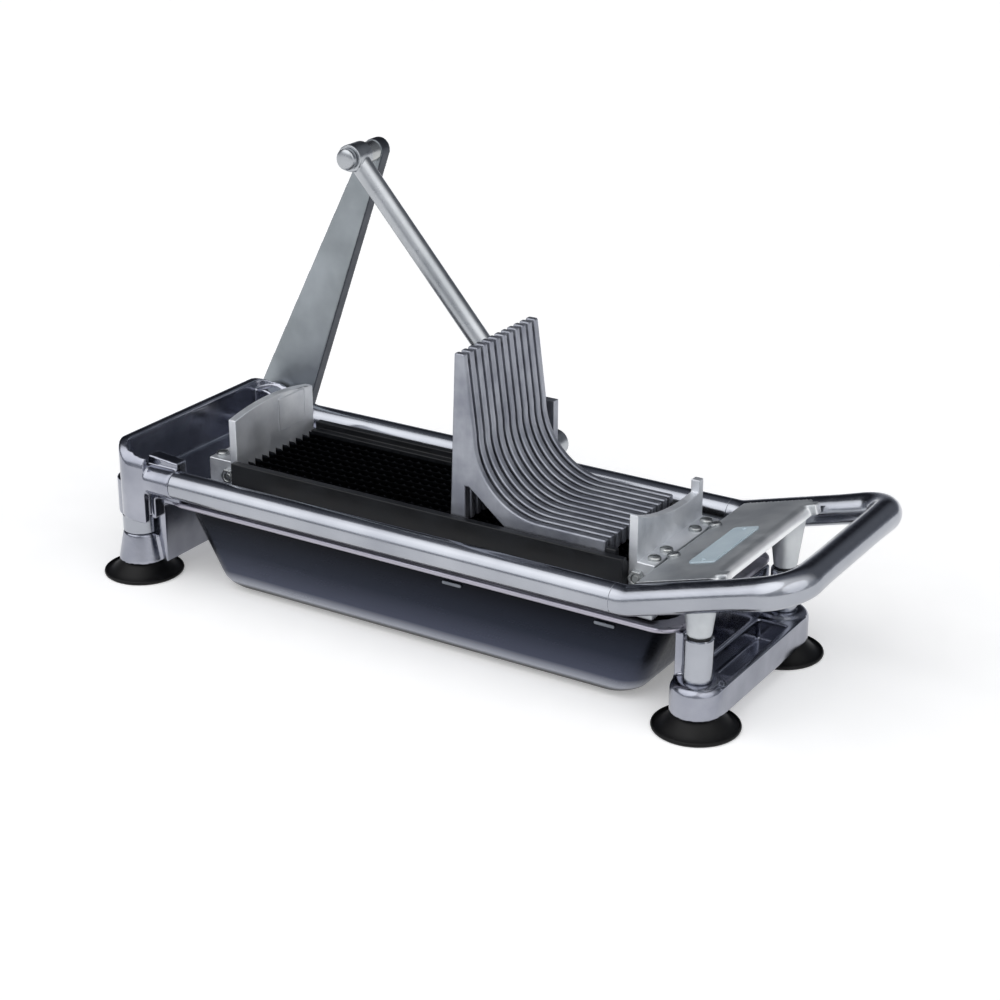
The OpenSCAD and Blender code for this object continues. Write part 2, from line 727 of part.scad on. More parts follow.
// Rear plate, seen along X, with a crowned top
module rear_plate() {
    crown_r = (holder_half * holder_half + holder_crown * holder_crown) / (2 * holder_crown);
    intersection() {
        translate([0, holder_top + holder_crown - crown_r]) circle(crown_r, $fn = 180);
        translate([-holder_half, deck_z]) square([2 * holder_half, holder_top]);
    }
}

// A holder: its upright plate, given as a child, on a slotted block
module holder(plate_x, block_x, pin_x) {
    difference() {
        union() {
            translate([plate_x, 0, 0]) rotate([90, 0, 90]) linear_extrude(holder_t) children();
            block([block_x, -holder_half, deck_z], [block_x + holder_block, holder_half, holder_block_top]);
        }
        holder_holes(pin_x);
    }
}

module front_blade_holder() color(polished) placed()
    holder(front_holder_x, front_holder_x, pin_front_x) front_plate();

module rear_blade_holder() color(polished) placed() {
    holder(-rear_holder_x - holder_t, holder_rear, pin_rear_x) rear_plate();
    block([-rear_holder_x - 1, pad_y[0], pad_z[0]], [-rear_holder_x + pad_t, pad_y[1], pad_z[1]]);
}

// Serrated strip, standing on edge, with a hole at each end
module blades() color(dark) placed() {
    rear = holder_rear + 1;
    front = holder_front - 1;
    cut_rear = -rear_holder_x + 2;
    teeth = floor((front_holder_x - 2 - cut_rear) / tooth_pitch);
    edge = [for (i = [0:teeth - 1]) each [[cut_rear + i * tooth_pitch, blade_top],
                                          [cut_rear + (i + 0.5) * tooth_pitch, blade_top - tooth_depth]]];
    for (i = [0:blade_count - 1]) difference() {
        across(blade_place(i) - blade_t / 2, blade_t)
            polygon(concat([[rear, blade_base], [rear, blade_top]], edge,
                           [[cut_rear + teeth * tooth_pitch, blade_top], [front, blade_top], [front, blade_base]]));
        for (x = [pin_rear_x, pin_front_x])
            bar_y(x, pin_z, blade_pin_d + 2 * fit_gap, -bar_out, bar_out);
    }
}

module blade_pin(x) {
    color(satin) placed() bar_y(x, pin_z, blade_pin_d, -holder_half - nut_t, holder_half + nut_t);
}

module front_blade_pin() blade_pin(pin_front_x);

module rear_blade_pin() blade_pin(pin_rear_x);

module blade_pin_nuts() color(satin) placed() for (x = [pin_rear_x, pin_front_x], side = [-1, 1])
    translate([x, side * (holder_half + nut_t / 2), pin_z]) rotate([90, 0, 0]) difference() {
        cylinder(d = 1.9 * blade_pin_d, h = nut_t, center = true, $fn = 6);
        cylinder(d = blade_pin_d + 2 * seat_gap, h = nut_t + 1, center = true);
    }

// Comb

// Outline of one fin: upright, leg, three-cornered gap, floor and curved seat
module fin_outline() {
    foot_rear = comb_x - fin_lean;
    leg_x = foot_rear + fin_leg_w;
    tip_x = comb_x + fin_reach;
    steps = 24;
    seat = [for (i = [0:steps]) let (a = 270 - 90 * i / steps) [seat_x, seat_z] + seat_r * [cos(a), sin(a)]];
    polygon(concat(
        [[foot_rear, comb_z], [leg_x, comb_z], [leg_x, comb_z + fin_gap_h], [leg_x + 1, comb_z + fin_gap_h],
         [leg_x + fin_gap_w, comb_z], [tip_x, comb_z], [tip_x, comb_z + fin_band]],
        seat, [[comb_x + fin_top_w, comb_z + comb_h], [comb_x, comb_z + comb_h]]));
}

function fin_place(i) = (i - (fin_count - 1) / 2) * blade_pitch;

// Tie rods at the top of the comb, behind the gap's top and behind the tips; they end inside
// the outer fins
tie_drop = 4;
tie_back = 10;
tie_inset = 1;
tie_places = [[comb_x + fin_top_w / 2, comb_z + comb_h - tie_drop],
              [comb_x - fin_lean + fin_leg_w, comb_z + fin_gap_h + 2 * tie_d],
              [comb_x + fin_reach - tie_back, comb_z + fin_band / 2]];

module tie_holes() {
    for (p = tie_places)
        bar_y(p[0], p[1], tie_d + 2 * run_gap, -comb_half + tie_inset - fit_gap, comb_half - tie_inset + fit_gap);
}

// The near fin is whole; the others are let into the back plate
module comb_fins() color(satin) placed() for (i = [0:fin_count - 1]) difference() {
    across(fin_place(i) - fin_t / 2, fin_t) fin_outline();
    tie_holes();
    if (i > 0) block([comb_x - fin_lean - 1, -comb_half, spine_low], [spine_front, comb_half + 1, spine_top]);
}

// Back plate with a rib in each gap between the fins, which leaves a groove in front, and an
// ear on the far side whose upright slot takes the link pin
module comb_spine() color(satin) placed() difference() {
    seat_rear = comb_x + fin_depth;
    top_front = comb_x + fin_top_w + (seat_rear - comb_x - fin_top_w) * spine_drop / (comb_z + comb_h - seat_z);
    union() {
        block([spine_rear, -comb_half + fin_t, spine_low], [spine_front, comb_half, spine_top]);
        for (i = [0:blade_count - 1]) across(blade_place(i) - rib_w / 2, rib_w) polygon([
            [spine_front - 1, spine_low], [seat_rear - groove_d, spine_low], [seat_rear - groove_d, seat_z],
            [top_front - groove_d + 1, spine_top], [spine_front - 1, spine_top]]);
        block([spine_rear, comb_half - 1, spine_low], [spine_front, ear_out, spine_low + bridge_h]);
        block([link[0] - ear_half, ear_in, link[1] - link_pin_d / 2 - ear_foot],
              [link[0] + ear_half, ear_out, spine_low + bridge_h]);
    }
    across(ear_in - 1, ear_t + 2) translate(link) {
        for (z = [0, link_lift + 0.5]) translate([0, z]) circle(link_pin_d / 2 + slot_play);
        translate([-link_pin_d / 2 - slot_play, 0]) square([link_pin_d + 2 * slot_play, link_lift + 0.5]);
    }
}

module comb_tie_rods() color(satin) placed() for (p = tie_places)
    bar_y(p[0], p[1], tie_d, -comb_half + tie_inset, comb_half - tie_inset);

// Drive

// Flat outline of a bar between two round ends, along +X from the first
module tapered_bar(length, r0, r1) {
    side = 90 - asin((r0 - r1) / length);
    steps = 24;
    polygon(concat(
        [for (i = [0:steps]) let (a = side + i * (360 - 2 * side) / steps) r0 * [cos(a), sin(a)]],
        [for (i = [0:steps]) let (a = -side + i * 2 * side / steps) [length, 0] + r1 * [cos(a), sin(a)]]));
}

module swing_arm() color(satin) placed() difference() {
    across(arm_in, arm_t) translate([-pivot_x, pivot_z]) rotate(arm_lean)
        tapered_bar(arm_len, arm_base_w / 2, arm_top_w / 2);
    bar_y(-pivot_x, pivot_z, bush_d + 2 * seat_gap, arm_in - 1, arm_out + 1);
    bar_y(apex[0], apex[1], link_pin_d + 2 * seat_gap, arm_in - 1, arm_out + 1);
}

module pivot_bush() color("#b08d57") placed() difference() {
    bar_y(-pivot_x, pivot_z, bush_d, arm_in, arm_out);
    bar_y(-pivot_x, pivot_z, pivot_d + 2 * run_gap, arm_in - 1, arm_out + 1);
}

module pivot_bolt() color(satin) placed() {
    bar_y(-pivot_x, pivot_z, pivot_d - 2, rail_y - rail_r + 5, pivot_face);
    bar_y(-pivot_x, pivot_z, pivot_d, pivot_face, arm_out + gap);
    bar_y(-pivot_x, pivot_z, 2 * pivot_d, arm_out + gap, arm_out + gap + pivot_head_t);
}

module pivot_washer() color(satin) placed() difference() {
    bar_y(-pivot_x, pivot_z, 2.2 * pivot_d, pivot_face, arm_in - gap);
    bar_y(-pivot_x, pivot_z, pivot_d + 2 * fit_gap, pivot_face - 1, arm_in);
}

module apex_pin() color(satin) placed() {
    bar_y(apex[0], apex[1], link_pin_d, rod_in - 4, arm_out);
    bar_y(apex[0], apex[1], link_pin_d + 4, arm_out, arm_out + 2);
}

module apex_spacer() color(satin) placed() difference() {
    bar_y(apex[0], apex[1], link_pin_d + 5, rod_out + gap, arm_in);
    bar_y(apex[0], apex[1], link_pin_d + 2 * seat_gap, rod_out, arm_in + 1);
}

module apex_nut() color(satin) placed() difference() {
    bar_y(apex[0], apex[1], link_pin_d + 5, rod_in - 5, rod_in - gap);
    bar_y(apex[0], apex[1], link_pin_d + 2 * seat_gap, rod_in - 4, rod_in);
}

// Round rod with a round eye at each end
module push_rod() color(polished) placed() difference() {
    union() {
        for (p = [apex, link]) bar_y(p[0], p[1], rod_eye_d, rod_in, rod_out);
        translate([apex[0], rod_y, apex[1]]) rotate([0, 90 + rod_angle, 0]) cylinder(d = rod_d, h = rod_len);
    }
    bar_y(apex[0], apex[1], link_pin_d + 2 * run_gap, rod_in - 1, rod_out + 1);
    bar_y(link[0], link[1], link_pin_d + 2 * seat_gap, rod_in - 1, rod_out + 1);
}

module link_pin() color(satin) placed() bar_y(link[0], link[1], link_pin_d, ear_in - 2.4, rod_out);

// Clip on the free end of the lower pin, inside the ear
module link_clip() color(satin) placed() difference() {
    bar_y(link[0], link[1], clip_d, ear_in - 1.9, ear_in - 0.5);
    bar_y(link[0], link[1], link_pin_d + 2 * seat_gap, ear_in - 3, ear_in);
}

// Pan

// Outer or inner skin of the tapering pan, inset from its outside
module pan_skin(inset, foot) {
    hull() {
        for (level = [[pan_rim_z + inset, 0], [foot, 1]]) for (sx = [-1, 1], sy = [-1, 1])
            translate([sx * ((sx > 0 ? pan_front : pan_rear) - pan_rim_w - inset - pan_corner_r - level[1] * pan_end_run),
                       sy * (pan_w / 2 - pan_rim_w - inset - pan_corner_r - level[1] * pan_side_run), level[0]])
                cylinder(r = pan_corner_r, h = 0.01, $fn = 32);
    }
}

module catch_pan() color(stainless) placed() difference() {
    union() {
        intersection() {
            pan_skin(0, pan_foot);
            translate([pan_mid, 0, (pan_foot + pan_rim_z) / 2])
                cube([pan_l, pan_w, pan_rim_z - pan_foot], center = true);
        }
        translate([pan_mid, 0, pan_rim_z - pan_rim_t]) linear_extrude(pan_rim_t)
            rounded_plate(pan_l, pan_w, pan_corner_r);
        // Pressed lugs under the rim
        for (x = lug_places, side = [-1, 1])
            translate([x, side * lug_y, pan_rim_z - lug_drop]) cube([lug_l, 2, lug_h], center = true);
    }
    pan_skin(pan_t, pan_foot + pan_t);
}

rear_casting();
near_rail();
far_rail();
grip_loop();
nose_casting();
nose_screws();
front_foot();
rear_foot();
front_posts();
rear_posts();
front_near_cup();
front_far_cup();
rear_near_cup();
rear_far_cup();
leg_bolts();
leg_washers();
near_side_bar();
far_side_bar();
front_blade_holder();
rear_blade_holder();
holder_screws();
blades();
front_blade_pin();
rear_blade_pin();
blade_pin_nuts();
bar_screws();
comb_stops();
comb_fins();
comb_spine();
comb_tie_rods();
swing_arm();
pivot_bush();
pivot_bolt();
pivot_washer();
apex_pin();
apex_spacer();
apex_nut();
push_rod();
link_pin();
link_clip();
catch_pan();
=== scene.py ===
import math

import bmesh
import bpy
from mathutils import Matrix, Vector


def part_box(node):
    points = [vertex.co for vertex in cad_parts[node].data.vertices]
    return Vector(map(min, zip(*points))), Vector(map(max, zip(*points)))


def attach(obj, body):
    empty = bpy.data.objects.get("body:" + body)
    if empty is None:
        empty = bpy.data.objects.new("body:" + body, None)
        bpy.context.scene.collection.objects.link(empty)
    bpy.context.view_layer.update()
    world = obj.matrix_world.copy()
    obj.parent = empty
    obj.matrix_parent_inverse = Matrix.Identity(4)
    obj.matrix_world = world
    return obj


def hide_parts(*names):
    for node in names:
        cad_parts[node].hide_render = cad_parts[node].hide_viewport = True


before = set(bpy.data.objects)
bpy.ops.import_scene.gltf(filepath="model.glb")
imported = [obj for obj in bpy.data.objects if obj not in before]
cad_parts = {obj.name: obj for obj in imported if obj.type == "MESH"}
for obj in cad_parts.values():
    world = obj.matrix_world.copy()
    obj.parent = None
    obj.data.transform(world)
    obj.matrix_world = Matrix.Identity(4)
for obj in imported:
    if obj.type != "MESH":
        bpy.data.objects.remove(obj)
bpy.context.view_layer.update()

# Camera and studio. The view is the photograph's own, fitted to the straight edges of the
# frame. A wide pale counter fills the picture; a bright ceiling, a dim room with a faint
# window behind and two soft lamps in front give the polished metal something to reflect.
MM = 0.001
VIEW_AZIMUTH = math.radians(32.04)
VIEW_ELEVATION = math.radians(22.44)
VIEW_DISTANCE = 1171.3 * MM
VIEW_TARGET = Vector((13.5, -7.4, 73.3)) * MM
LENS = 78.15
SENSOR_WIDTH = 36.0
VIEW_REACH = 50.0
ROOM_STRENGTH = 0.9
ROOM_EDGE = (-0.3, 0.1)
WINDOW_WAY = (0.363, 0.798, 0.481)
WINDOW_EDGE = (0.86, 0.99)
# Each lamp's name, the way to it, its spread in degrees and its power.
LAMPS = (("key_light", (-0.7, -1.3, 1.6), 70, 1.1),
         ("fill_light", (1.5, -0.6, 1.0), 60, 0.6))
COUNTER_SIZE = 80.0
COUNTER_SPECK = 25.0 * MM
COUNTER_LIFT = 0.28


def linear(hex_colour):
    """An sRGB hex colour as linear red, green, blue and alpha."""
    channels = [int(hex_colour[i:i + 2], 16) / 255 for i in (1, 3, 5)]
    return [c / 12.92 if c <= 0.04045 else ((c + 0.055) / 1.055) ** 2.4 for c in channels] + [1.0]


def add(tree, kind, inputs=None, stops=(), **settings):
    """A new node in a tree. Each input is a value, or the output that feeds it; stops are
    the places and hex colours of a colour ramp."""
    node = tree.nodes.new(kind)
    for key, value in settings.items():
        setattr(node, key, value)
    for key, value in (inputs or {}).items():
        if isinstance(value, bpy.types.NodeSocket):
            tree.links.new(value, node.inputs[key])
        else:
            node.inputs[key].default_value = value
    for i, (place, colour) in enumerate(stops):
        element = node.color_ramp.elements[i] if i < 2 else node.color_ramp.elements.new(place)
        element.position = place
        element.color = linear(colour)
    return node


back = Vector((math.sin(VIEW_AZIMUTH) * math.cos(VIEW_ELEVATION),
               -math.cos(VIEW_AZIMUTH) * math.cos(VIEW_ELEVATION), math.sin(VIEW_ELEVATION)))
camera = bpy.data.objects.new("camera", bpy.data.cameras.new("camera"))
camera.location = VIEW_TARGET + VIEW_DISTANCE * back
camera.rotation_euler = back.to_track_quat("Z", "Y").to_euler()
camera.data.lens = LENS
camera.data.sensor_width = SENSOR_WIDTH
camera.data.clip_end = VIEW_REACH
bpy.context.scene.collection.objects.link(camera)
bpy.context.scene.camera = camera
bpy.context.scene.view_settings.view_transform = "Standard"

world = bpy.data.worlds.new("studio")
world.use_nodes = True
tree = world.node_tree
tree.nodes.clear()
way = add(tree, "ShaderNodeTexCoord").outputs["Generated"]
height = add(tree, "ShaderNodeSeparateXYZ", {"Vector": way}).outputs["Z"]
front = add(tree, "ShaderNodeVectorMath", {0: way, 1: (back.x, back.y, 0)},
            operation="DOT_PRODUCT").outputs["Value"]
ceiling = add(tree, "ShaderNodeValToRGB", {"Fac": height},
              [(0.0, "#a8abb1"), (0.3, "#b8bbc1"), (0.75, "#ffffff")]).outputs["Color"]
behind = add(tree, "ShaderNodeValToRGB", {"Fac": height},
             [(0.0, "#b4b7bf"), (0.14, "#7e818a"), (0.34, "#25272e"), (0.6, "#2c2f36"),
              (0.95, "#7a7d86")]).outputs["Color"]
share = add(tree, "ShaderNodeMapRange", {"Value": front, "From Min": ROOM_EDGE[0], "From Max": ROOM_EDGE[1]})
room = add(tree, "ShaderNodeMix", {"Factor": share.outputs["Result"], 6: behind, 7: ceiling},
           data_type="RGBA")
window = add(tree, "ShaderNodeVectorMath", {0: way, 1: WINDOW_WAY}, operation="DOT_PRODUCT")
glow = add(tree, "ShaderNodeMapRange", {
    "Value": window.outputs["Value"], "From Min": WINDOW_EDGE[0], "From Max": WINDOW_EDGE[1]})
room = add(tree, "ShaderNodeMix", {
    "Factor": glow.outputs["Result"], 6: room.outputs[2], 7: linear("#74777e")}, data_type="RGBA")
room_light = add(tree, "ShaderNodeBackground", {"Color": room.outputs[2], "Strength": ROOM_STRENGTH})
add(tree, "ShaderNodeOutputWorld", {"Surface": room_light.outputs["Background"]})
bpy.context.scene.world = world

for name, way, spread, power in LAMPS:
    lamp = bpy.data.objects.new(name, bpy.data.lights.new(name, "SUN"))
    lamp.data.angle = math.radians(spread)
    lamp.data.energy = power
    lamp.location = way
    lamp.rotation_euler = Vector(way).to_track_quat("Z", "Y").to_euler()
    bpy.context.scene.collection.objects.link(lamp)


def new_material(name):
    """An empty node material, as the material and its tree."""
    material = bpy.data.materials.new(name)
    material.use_nodes = True
    material.node_tree.nodes.clear()
    return material, material.node_tree


# Pale matt laminate: an even white that fades out behind the piece and keeps its soft shadow.
# The camera and the metal both see it lifted to white; it throws no more light for that.
counter_paint, tree = new_material("pale_matt_laminate")
place = add(tree, "ShaderNodeTexCoord").outputs["Object"]
speck = add(tree, "ShaderNodeTexNoise", {"Vector": place, "Scale": 1 / COUNTER_SPECK, "Detail": 2.0})
laminate = add(tree, "ShaderNodeValToRGB", {"Fac": speck.outputs["Fac"]},
               [(0.3, "#f4f4f4"), (0.7, "#f7f7f7")])
lit = add(tree, "ShaderNodeBsdfPrincipled", {
    "Base Color": laminate.outputs["Color"], "Roughness": 0.8, "Specular IOR Level": 0.1})
ray = add(tree, "ShaderNodeLightPath").outputs
seen = add(tree, "ShaderNodeMath", {0: ray["Is Camera Ray"], 1: ray["Is Glossy Ray"]},
           operation="MAXIMUM").outputs["Value"]
seen = add(tree, "ShaderNodeMath", {0: seen, 1: ray["Is Transmission Ray"]},
           operation="MAXIMUM").outputs["Value"]
lift = add(tree, "ShaderNodeMath", {0: seen, 1: COUNTER_LIFT}, operation="MULTIPLY")
white = add(tree, "ShaderNodeEmission", {"Color": linear("#ffffff"), "Strength": lift.outputs["Value"]})
shown = add(tree, "ShaderNodeAddShader", {0: lit.outputs["BSDF"], 1: white.outputs["Emission"]})
add(tree, "ShaderNodeOutputMaterial", {"Surface": shown.outputs["Shader"]})
counter_mesh = bpy.data.meshes.new("counter")
half = COUNTER_SIZE / 2
counter_mesh.from_pydata([(-half, -half, 0), (half, -half, 0), (half, half, 0), (-half, half, 0)],
                         [], [(0, 1, 2, 3)])
counter_mesh.materials.append(counter_paint)
counter = bpy.data.objects.new("counter", counter_mesh)
bpy.context.scene.collection.objects.link(counter)

# Rear casting. The U-shaped rear wall, its two wings with the rail sockets, the deck and
# the arm's seat are one aluminium sand casting, ground and polished by hand, so every
# edge is soft and the reflections waver.
NOISE_BAND = (0.3, 0.7)
WAVE_STRENGTH = 0.6
GRAIN_STRENGTH = 0.12
GRAIN_DEPTH = 0.05 * MM
WELD = 1e-6
FLAT_ANGLE = math.radians(0.5)


def metal(name, tones, patch_mm, grain_mm, roughness, wave_mm, wave_height_mm):
    """A bare metal: tone patches, a directional grain in its gloss, and shallow waves.
    Tones are two hex colours, roughness a low and a high value, sizes real millimetres,
    with the grain's three sizes along X, Y and Z. Real polishing lines are about 0.1 mm
    apart, too fine to show, so the grain is drawn coarser."""
    material, tree = new_material(name)
    place = add(tree, "ShaderNodeTexCoord").outputs["Object"]
    patches = add(tree, "ShaderNodeTexNoise", {"Vector": place, "Scale": 1000 / patch_mm, "Detail": 4.0})
    colour = add(tree, "ShaderNodeValToRGB", {"Fac": patches.outputs["Fac"]},
                 [(0.35, tones[0]), (0.65, tones[1])]).outputs["Color"]
    stretched = add(tree, "ShaderNodeMapping", {"Vector": place, "Scale": [1000 / g for g in grain_mm]})
    grain = add(tree, "ShaderNodeTexNoise", {
        "Vector": stretched.outputs["Vector"], "Scale": 1.0, "Detail": 3.0})
    gloss = add(tree, "ShaderNodeMapRange", {
        "Value": grain.outputs["Fac"], "From Min": NOISE_BAND[0], "From Max": NOISE_BAND[1],
        "To Min": roughness[0], "To Max": roughness[1]})
    waves = add(tree, "ShaderNodeTexNoise", {"Vector": place, "Scale": 1000 / wave_mm, "Detail": 1.0})
    soft = add(tree, "ShaderNodeBump", {
        "Height": waves.outputs["Fac"], "Strength": WAVE_STRENGTH, "Distance": wave_height_mm * MM})
    lines = add(tree, "ShaderNodeBump", {
        "Height": grain.outputs["Fac"], "Strength": GRAIN_STRENGTH, "Distance": GRAIN_DEPTH,
        "Normal": soft.outputs["Normal"]})
    lit = add(tree, "ShaderNodeBsdfPrincipled", {
        "Base Color": colour, "Metallic": 1.0, "Roughness": gloss.outputs["Result"],
        "Normal": lines.outputs["Normal"]})
    add(tree, "ShaderNodeOutputMaterial", {"Surface": lit.outputs["BSDF"]})
    return material


def meshed(shape, name):
    """The faces gathered in a bmesh, as a new mesh."""
    mesh = bpy.data.meshes.new(name)
    shape.to_mesh(mesh)
    shape.free()
    return mesh


def node_copy(node):
    """A CAD node's mesh with its loose triangles joined up and its flat faces whole."""
    shape = bmesh.new()
    shape.from_mesh(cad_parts[node].data)
    bmesh.ops.remove_doubles(shape, verts=shape.verts, dist=WELD)
    bmesh.ops.dissolve_limit(shape, angle_limit=FLAT_ANGLE, verts=shape.verts, edges=shape.edges)
    return meshed(shape, node + "_skin")


def settled(mesh, modifiers):
    """The mesh after the given modifiers, each a type and its settings."""
    stand = bpy.data.objects.new("stand", mesh)
    bpy.context.scene.collection.objects.link(stand)
    for kind, settings in modifiers:
        modifier = stand.modifiers.new(kind.lower(), kind)
        for key, value in settings.items():
            setattr(modifier, key, value)
    graph = bpy.context.evaluated_depsgraph_get()
    result = bpy.data.meshes.new_from_object(stand.evaluated_get(graph), depsgraph=graph)
    bpy.data.objects.remove(stand)
    return result


def cast_skin(node, voxel, passes):
    """A casting's soft skin over its CAD solid: every edge and inside corner is eased."""
    skin = settled(node_copy(node), [
        ("REMESH", {"mode": "VOXEL", "voxel_size": voxel}),
        ("SMOOTH", {"factor": 0.5, "iterations": passes})])
    skin.shade_smooth()
    return skin


def piece(name, mesh, material, body, slot, *replaced):
    """Puts a finished mesh into the scene on its body, in place of the CAD nodes it stands for."""
    mesh.materials.clear()
    mesh.materials.append(material)
    mesh.name = name
    made = bpy.data.objects.new(name, mesh)
    bpy.context.scene.collection.objects.link(made)
    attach(made, body)
    if replaced:
        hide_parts(*replaced)
    return made


# Hand-polished aluminium: a light lilac grey, with soft waves in what it reflects.
polished_aluminium = metal("hand_polished_cast_aluminium", ("#8d909b", "#a8aab4"), patch_mm=30,
                           grain_mm=(14, 14, 14), roughness=(0.12, 0.24), wave_mm=20, wave_height_mm=0.12)
piece("rear_casting_skin", cast_skin("rear_casting", voxel=0.68 * MM, passes=12), polished_aluminium,
      "frame", "polished_aluminium", "rear_casting")

# Rails. Two solid round bars of drawn aluminium, polished along their length, with a
# turned spigot at each end that plugs into the castings.
RAIL_SPIGOT = 6.0 * MM
RAIL_SPIGOT_R = 5.0 * MM
RAIL_EASE = 0.4 * MM


def lofted(rings, closed=False):
    """A skin from ring to ring, each a list of points. It has flat ends, or runs on from the
    last ring to the first if it is closed."""
    shape = bmesh.new()
    rings = [[shape.verts.new(spot) for spot in ring] for ring in rings]
    for first, second in zip(rings, rings[1:] + (rings[:1] if closed else [])):
        for i in range(len(first)):
            k = (i + 1) % len(first)
            shape.faces.new((first[i], first[k], second[k], second[i]))
    if not closed:
        shape.faces.new(rings[0])
        shape.faces.new(rings[-1])
    bmesh.ops.recalc_face_normals(shape, faces=shape.faces)
    return meshed(shape, "lofted")


def smoothed(mesh, degrees=32):
    """The mesh in smooth shading, broken at edges that turn by more than an angle."""
    mesh.shade_smooth()
    mesh.set_sharp_from_angle(angle=math.radians(degrees))
    return mesh


def turned(profile, centre, axis, closed=False, steps=72):
    """A turned piece about an axis through centre. The profile gives places along the axis
    and radii; a closed profile is a ring's section."""
    turns = {"X": lambda t, u, v: (t, u, v), "Y": lambda t, u, v: (v, t, u),
             "Z": lambda t, u, v: (u, v, t)}
    angles = [2 * math.pi * i / steps for i in range(steps)]
    rings = [[Vector(turns[axis](along, radius * math.cos(a), radius * math.sin(a))) + Vector(centre)
              for a in angles] for along, radius in profile]
    return smoothed(lofted(rings, closed))


# Polished drawn aluminium: long bright and dark bands with fine lines along the bar.
drawn_aluminium = metal("polished_drawn_aluminium", ("#9c9fa7", "#b0b3ba"), patch_mm=60,
                        grain_mm=(40, 1.2, 1.2), roughness=(0.13, 0.25), wave_mm=40, wave_height_mm=0.12)
for side in ("near", "far"):
    low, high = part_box(side + "_rail")
    middle = (low + high) / 2
    radius = (high.z - low.z) / 2
    start = low.x + RAIL_SPIGOT
    end = high.x - RAIL_SPIGOT
    profile = [(low.x, RAIL_SPIGOT_R), (start, RAIL_SPIGOT_R), (start, radius - RAIL_EASE),
               (start + RAIL_EASE, radius), (end - RAIL_EASE, radius), (end, radius - RAIL_EASE),
               (end, RAIL_SPIGOT_R), (high.x, RAIL_SPIGOT_R)]
    piece(side + "_rail_bar", turned(profile, (0, middle.y, middle.z), "X"), drawn_aluminium, "frame",
          "polished_aluminium", side + "_rail")

# Grip loop. One loop of the same bar in front of the nose: two sides that rise and close
# in, and two bent corners where the bar is a little stouter, running out smoothly.
GRIP_PITCH = 124.0 * MM
GRIP_RISE = 25.0 * MM
GRIP_BEND = 17.0 * MM
STUB_BEND = 25.0 * MM
ELBOW_SWELL = 0.4 * MM
SWELL_RUN = 14.0 * MM
ELBOW_STEPS = 20
STUB_STEPS = 8
TUBE_STEPS = 48
TUBE_SHARP = 40


def arc(start, corner, end, radius, steps):
    """Points of a round corner between two straight runs, with the tangent points."""
    inward = (start - corner).normalized()
    outward = (end - corner).normalized()
    bisector = (inward + outward).normalized()
    half_angle = inward.angle(outward) / 2
    centre = corner + bisector * radius / math.sin(half_angle)
    cut = radius / math.tan(half_angle)
    first = corner + inward * cut - centre
    last = corner + outward * cut - centre
    turn = first.angle(last)
    axis = first.cross(last).normalized()
    return [centre + Matrix.Rotation(turn * i / steps, 3, axis) @ first for i in range(steps + 1)]


def tube(path, radii):
    """A round tube along a path of points, with a radius at each, and flat ends."""
    rings = []
    aim = (path[1] - path[0]).normalized()
    side = aim.orthogonal().normalized()
    for i, spot in enumerate(path):
        before = (spot - path[i - 1]).normalized() if i else (path[1] - spot).normalized()
        after = (path[i + 1] - spot).normalized() if i + 1 < len(path) else before
        new_aim = (before + after).normalized()
        side = (aim.rotation_difference(new_aim) @ side).normalized()
        aim = new_aim
        up = aim.cross(side)
        rings.append([spot + radii[i] * (math.cos(a) * side + math.sin(a) * up)
                      for a in (2 * math.pi * k / TUBE_STEPS for k in range(TUBE_STEPS))])
    return smoothed(lofted(rings), TUBE_SHARP)


rail_low, rail_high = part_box("near_rail")
far_low, far_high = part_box("far_rail")
loop_low, loop_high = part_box("grip_loop")
rail_mid_y = (rail_low.y + far_high.y) / 2
rail_half = (far_low.y + far_high.y - rail_low.y - rail_high.y) / 4
rail_z = (rail_low.z + rail_high.z) / 2
rail_r = (rail_high.z - rail_low.z) / 2
stub_x = loop_low.x
bend_x = stub_x + RAIL_SPIGOT
grip_x = loop_high.x - rail_r - ELBOW_SWELL
corners = [Vector((x, rail_mid_y + y, z)) for x, y, z in (
    (stub_x, -rail_half, rail_z), (bend_x, -rail_half, rail_z),
    (grip_x, -GRIP_PITCH / 2, rail_z + GRIP_RISE), (grip_x, GRIP_PITCH / 2, rail_z + GRIP_RISE),
    (bend_x, rail_half, rail_z), (stub_x, rail_half, rail_z))]
path = [corners[0]]
radii = [rail_r]
for i in range(1, 5):
    elbow = i in (2, 3)
    points = arc(corners[i - 1], corners[i], corners[i + 1], GRIP_BEND if elbow else STUB_BEND,
                 ELBOW_STEPS if elbow else STUB_STEPS)
    if elbow:
        run_in = (corners[i] - corners[i - 1]).normalized() * SWELL_RUN
        run_out = (corners[i + 1] - corners[i]).normalized() * SWELL_RUN
        path += [points[0] - run_in] + points + [points[-1] + run_out]
        radii += [rail_r] + [rail_r + ELBOW_SWELL] * len(points) + [rail_r]
    else:
        path += points
        radii += [rail_r] * len(points)
path.append(corners[5])
radii.append(rail_r)
piece("grip_loop_bar", tube(path, radii), drawn_aluminium, "frame", "polished_aluminium", "grip_loop")

# Nose casting. A sloping cast plate between the sides of the loop, with a rounded front
# lip, the front deck behind it and two tapered leg sockets below. A bare thin plate is
# riveted to its top.
LIP_H = 12.0 * MM
LIP_FADE = 3.0 * MM
BADGE_SIZE = (15.0 * MM, 52.0 * MM)
BADGE_PLACE = (22.0 * MM, -10.0 * MM)
BADGE_T = 0.8 * MM
BADGE_SINK = 0.2 * MM
BADGE_CORNER = 2.0 * MM
BADGE_EASE = 0.25 * MM
RIVET_R = 1.3 * MM
RIVET_RISE = 0.78 * MM
RIVET_SINK = 0.1 * MM
RIVET_INSET = 3.2 * MM
RIVET_ARC = (0, 30, 60, 85)
MOULD_STRENGTH = 0.3


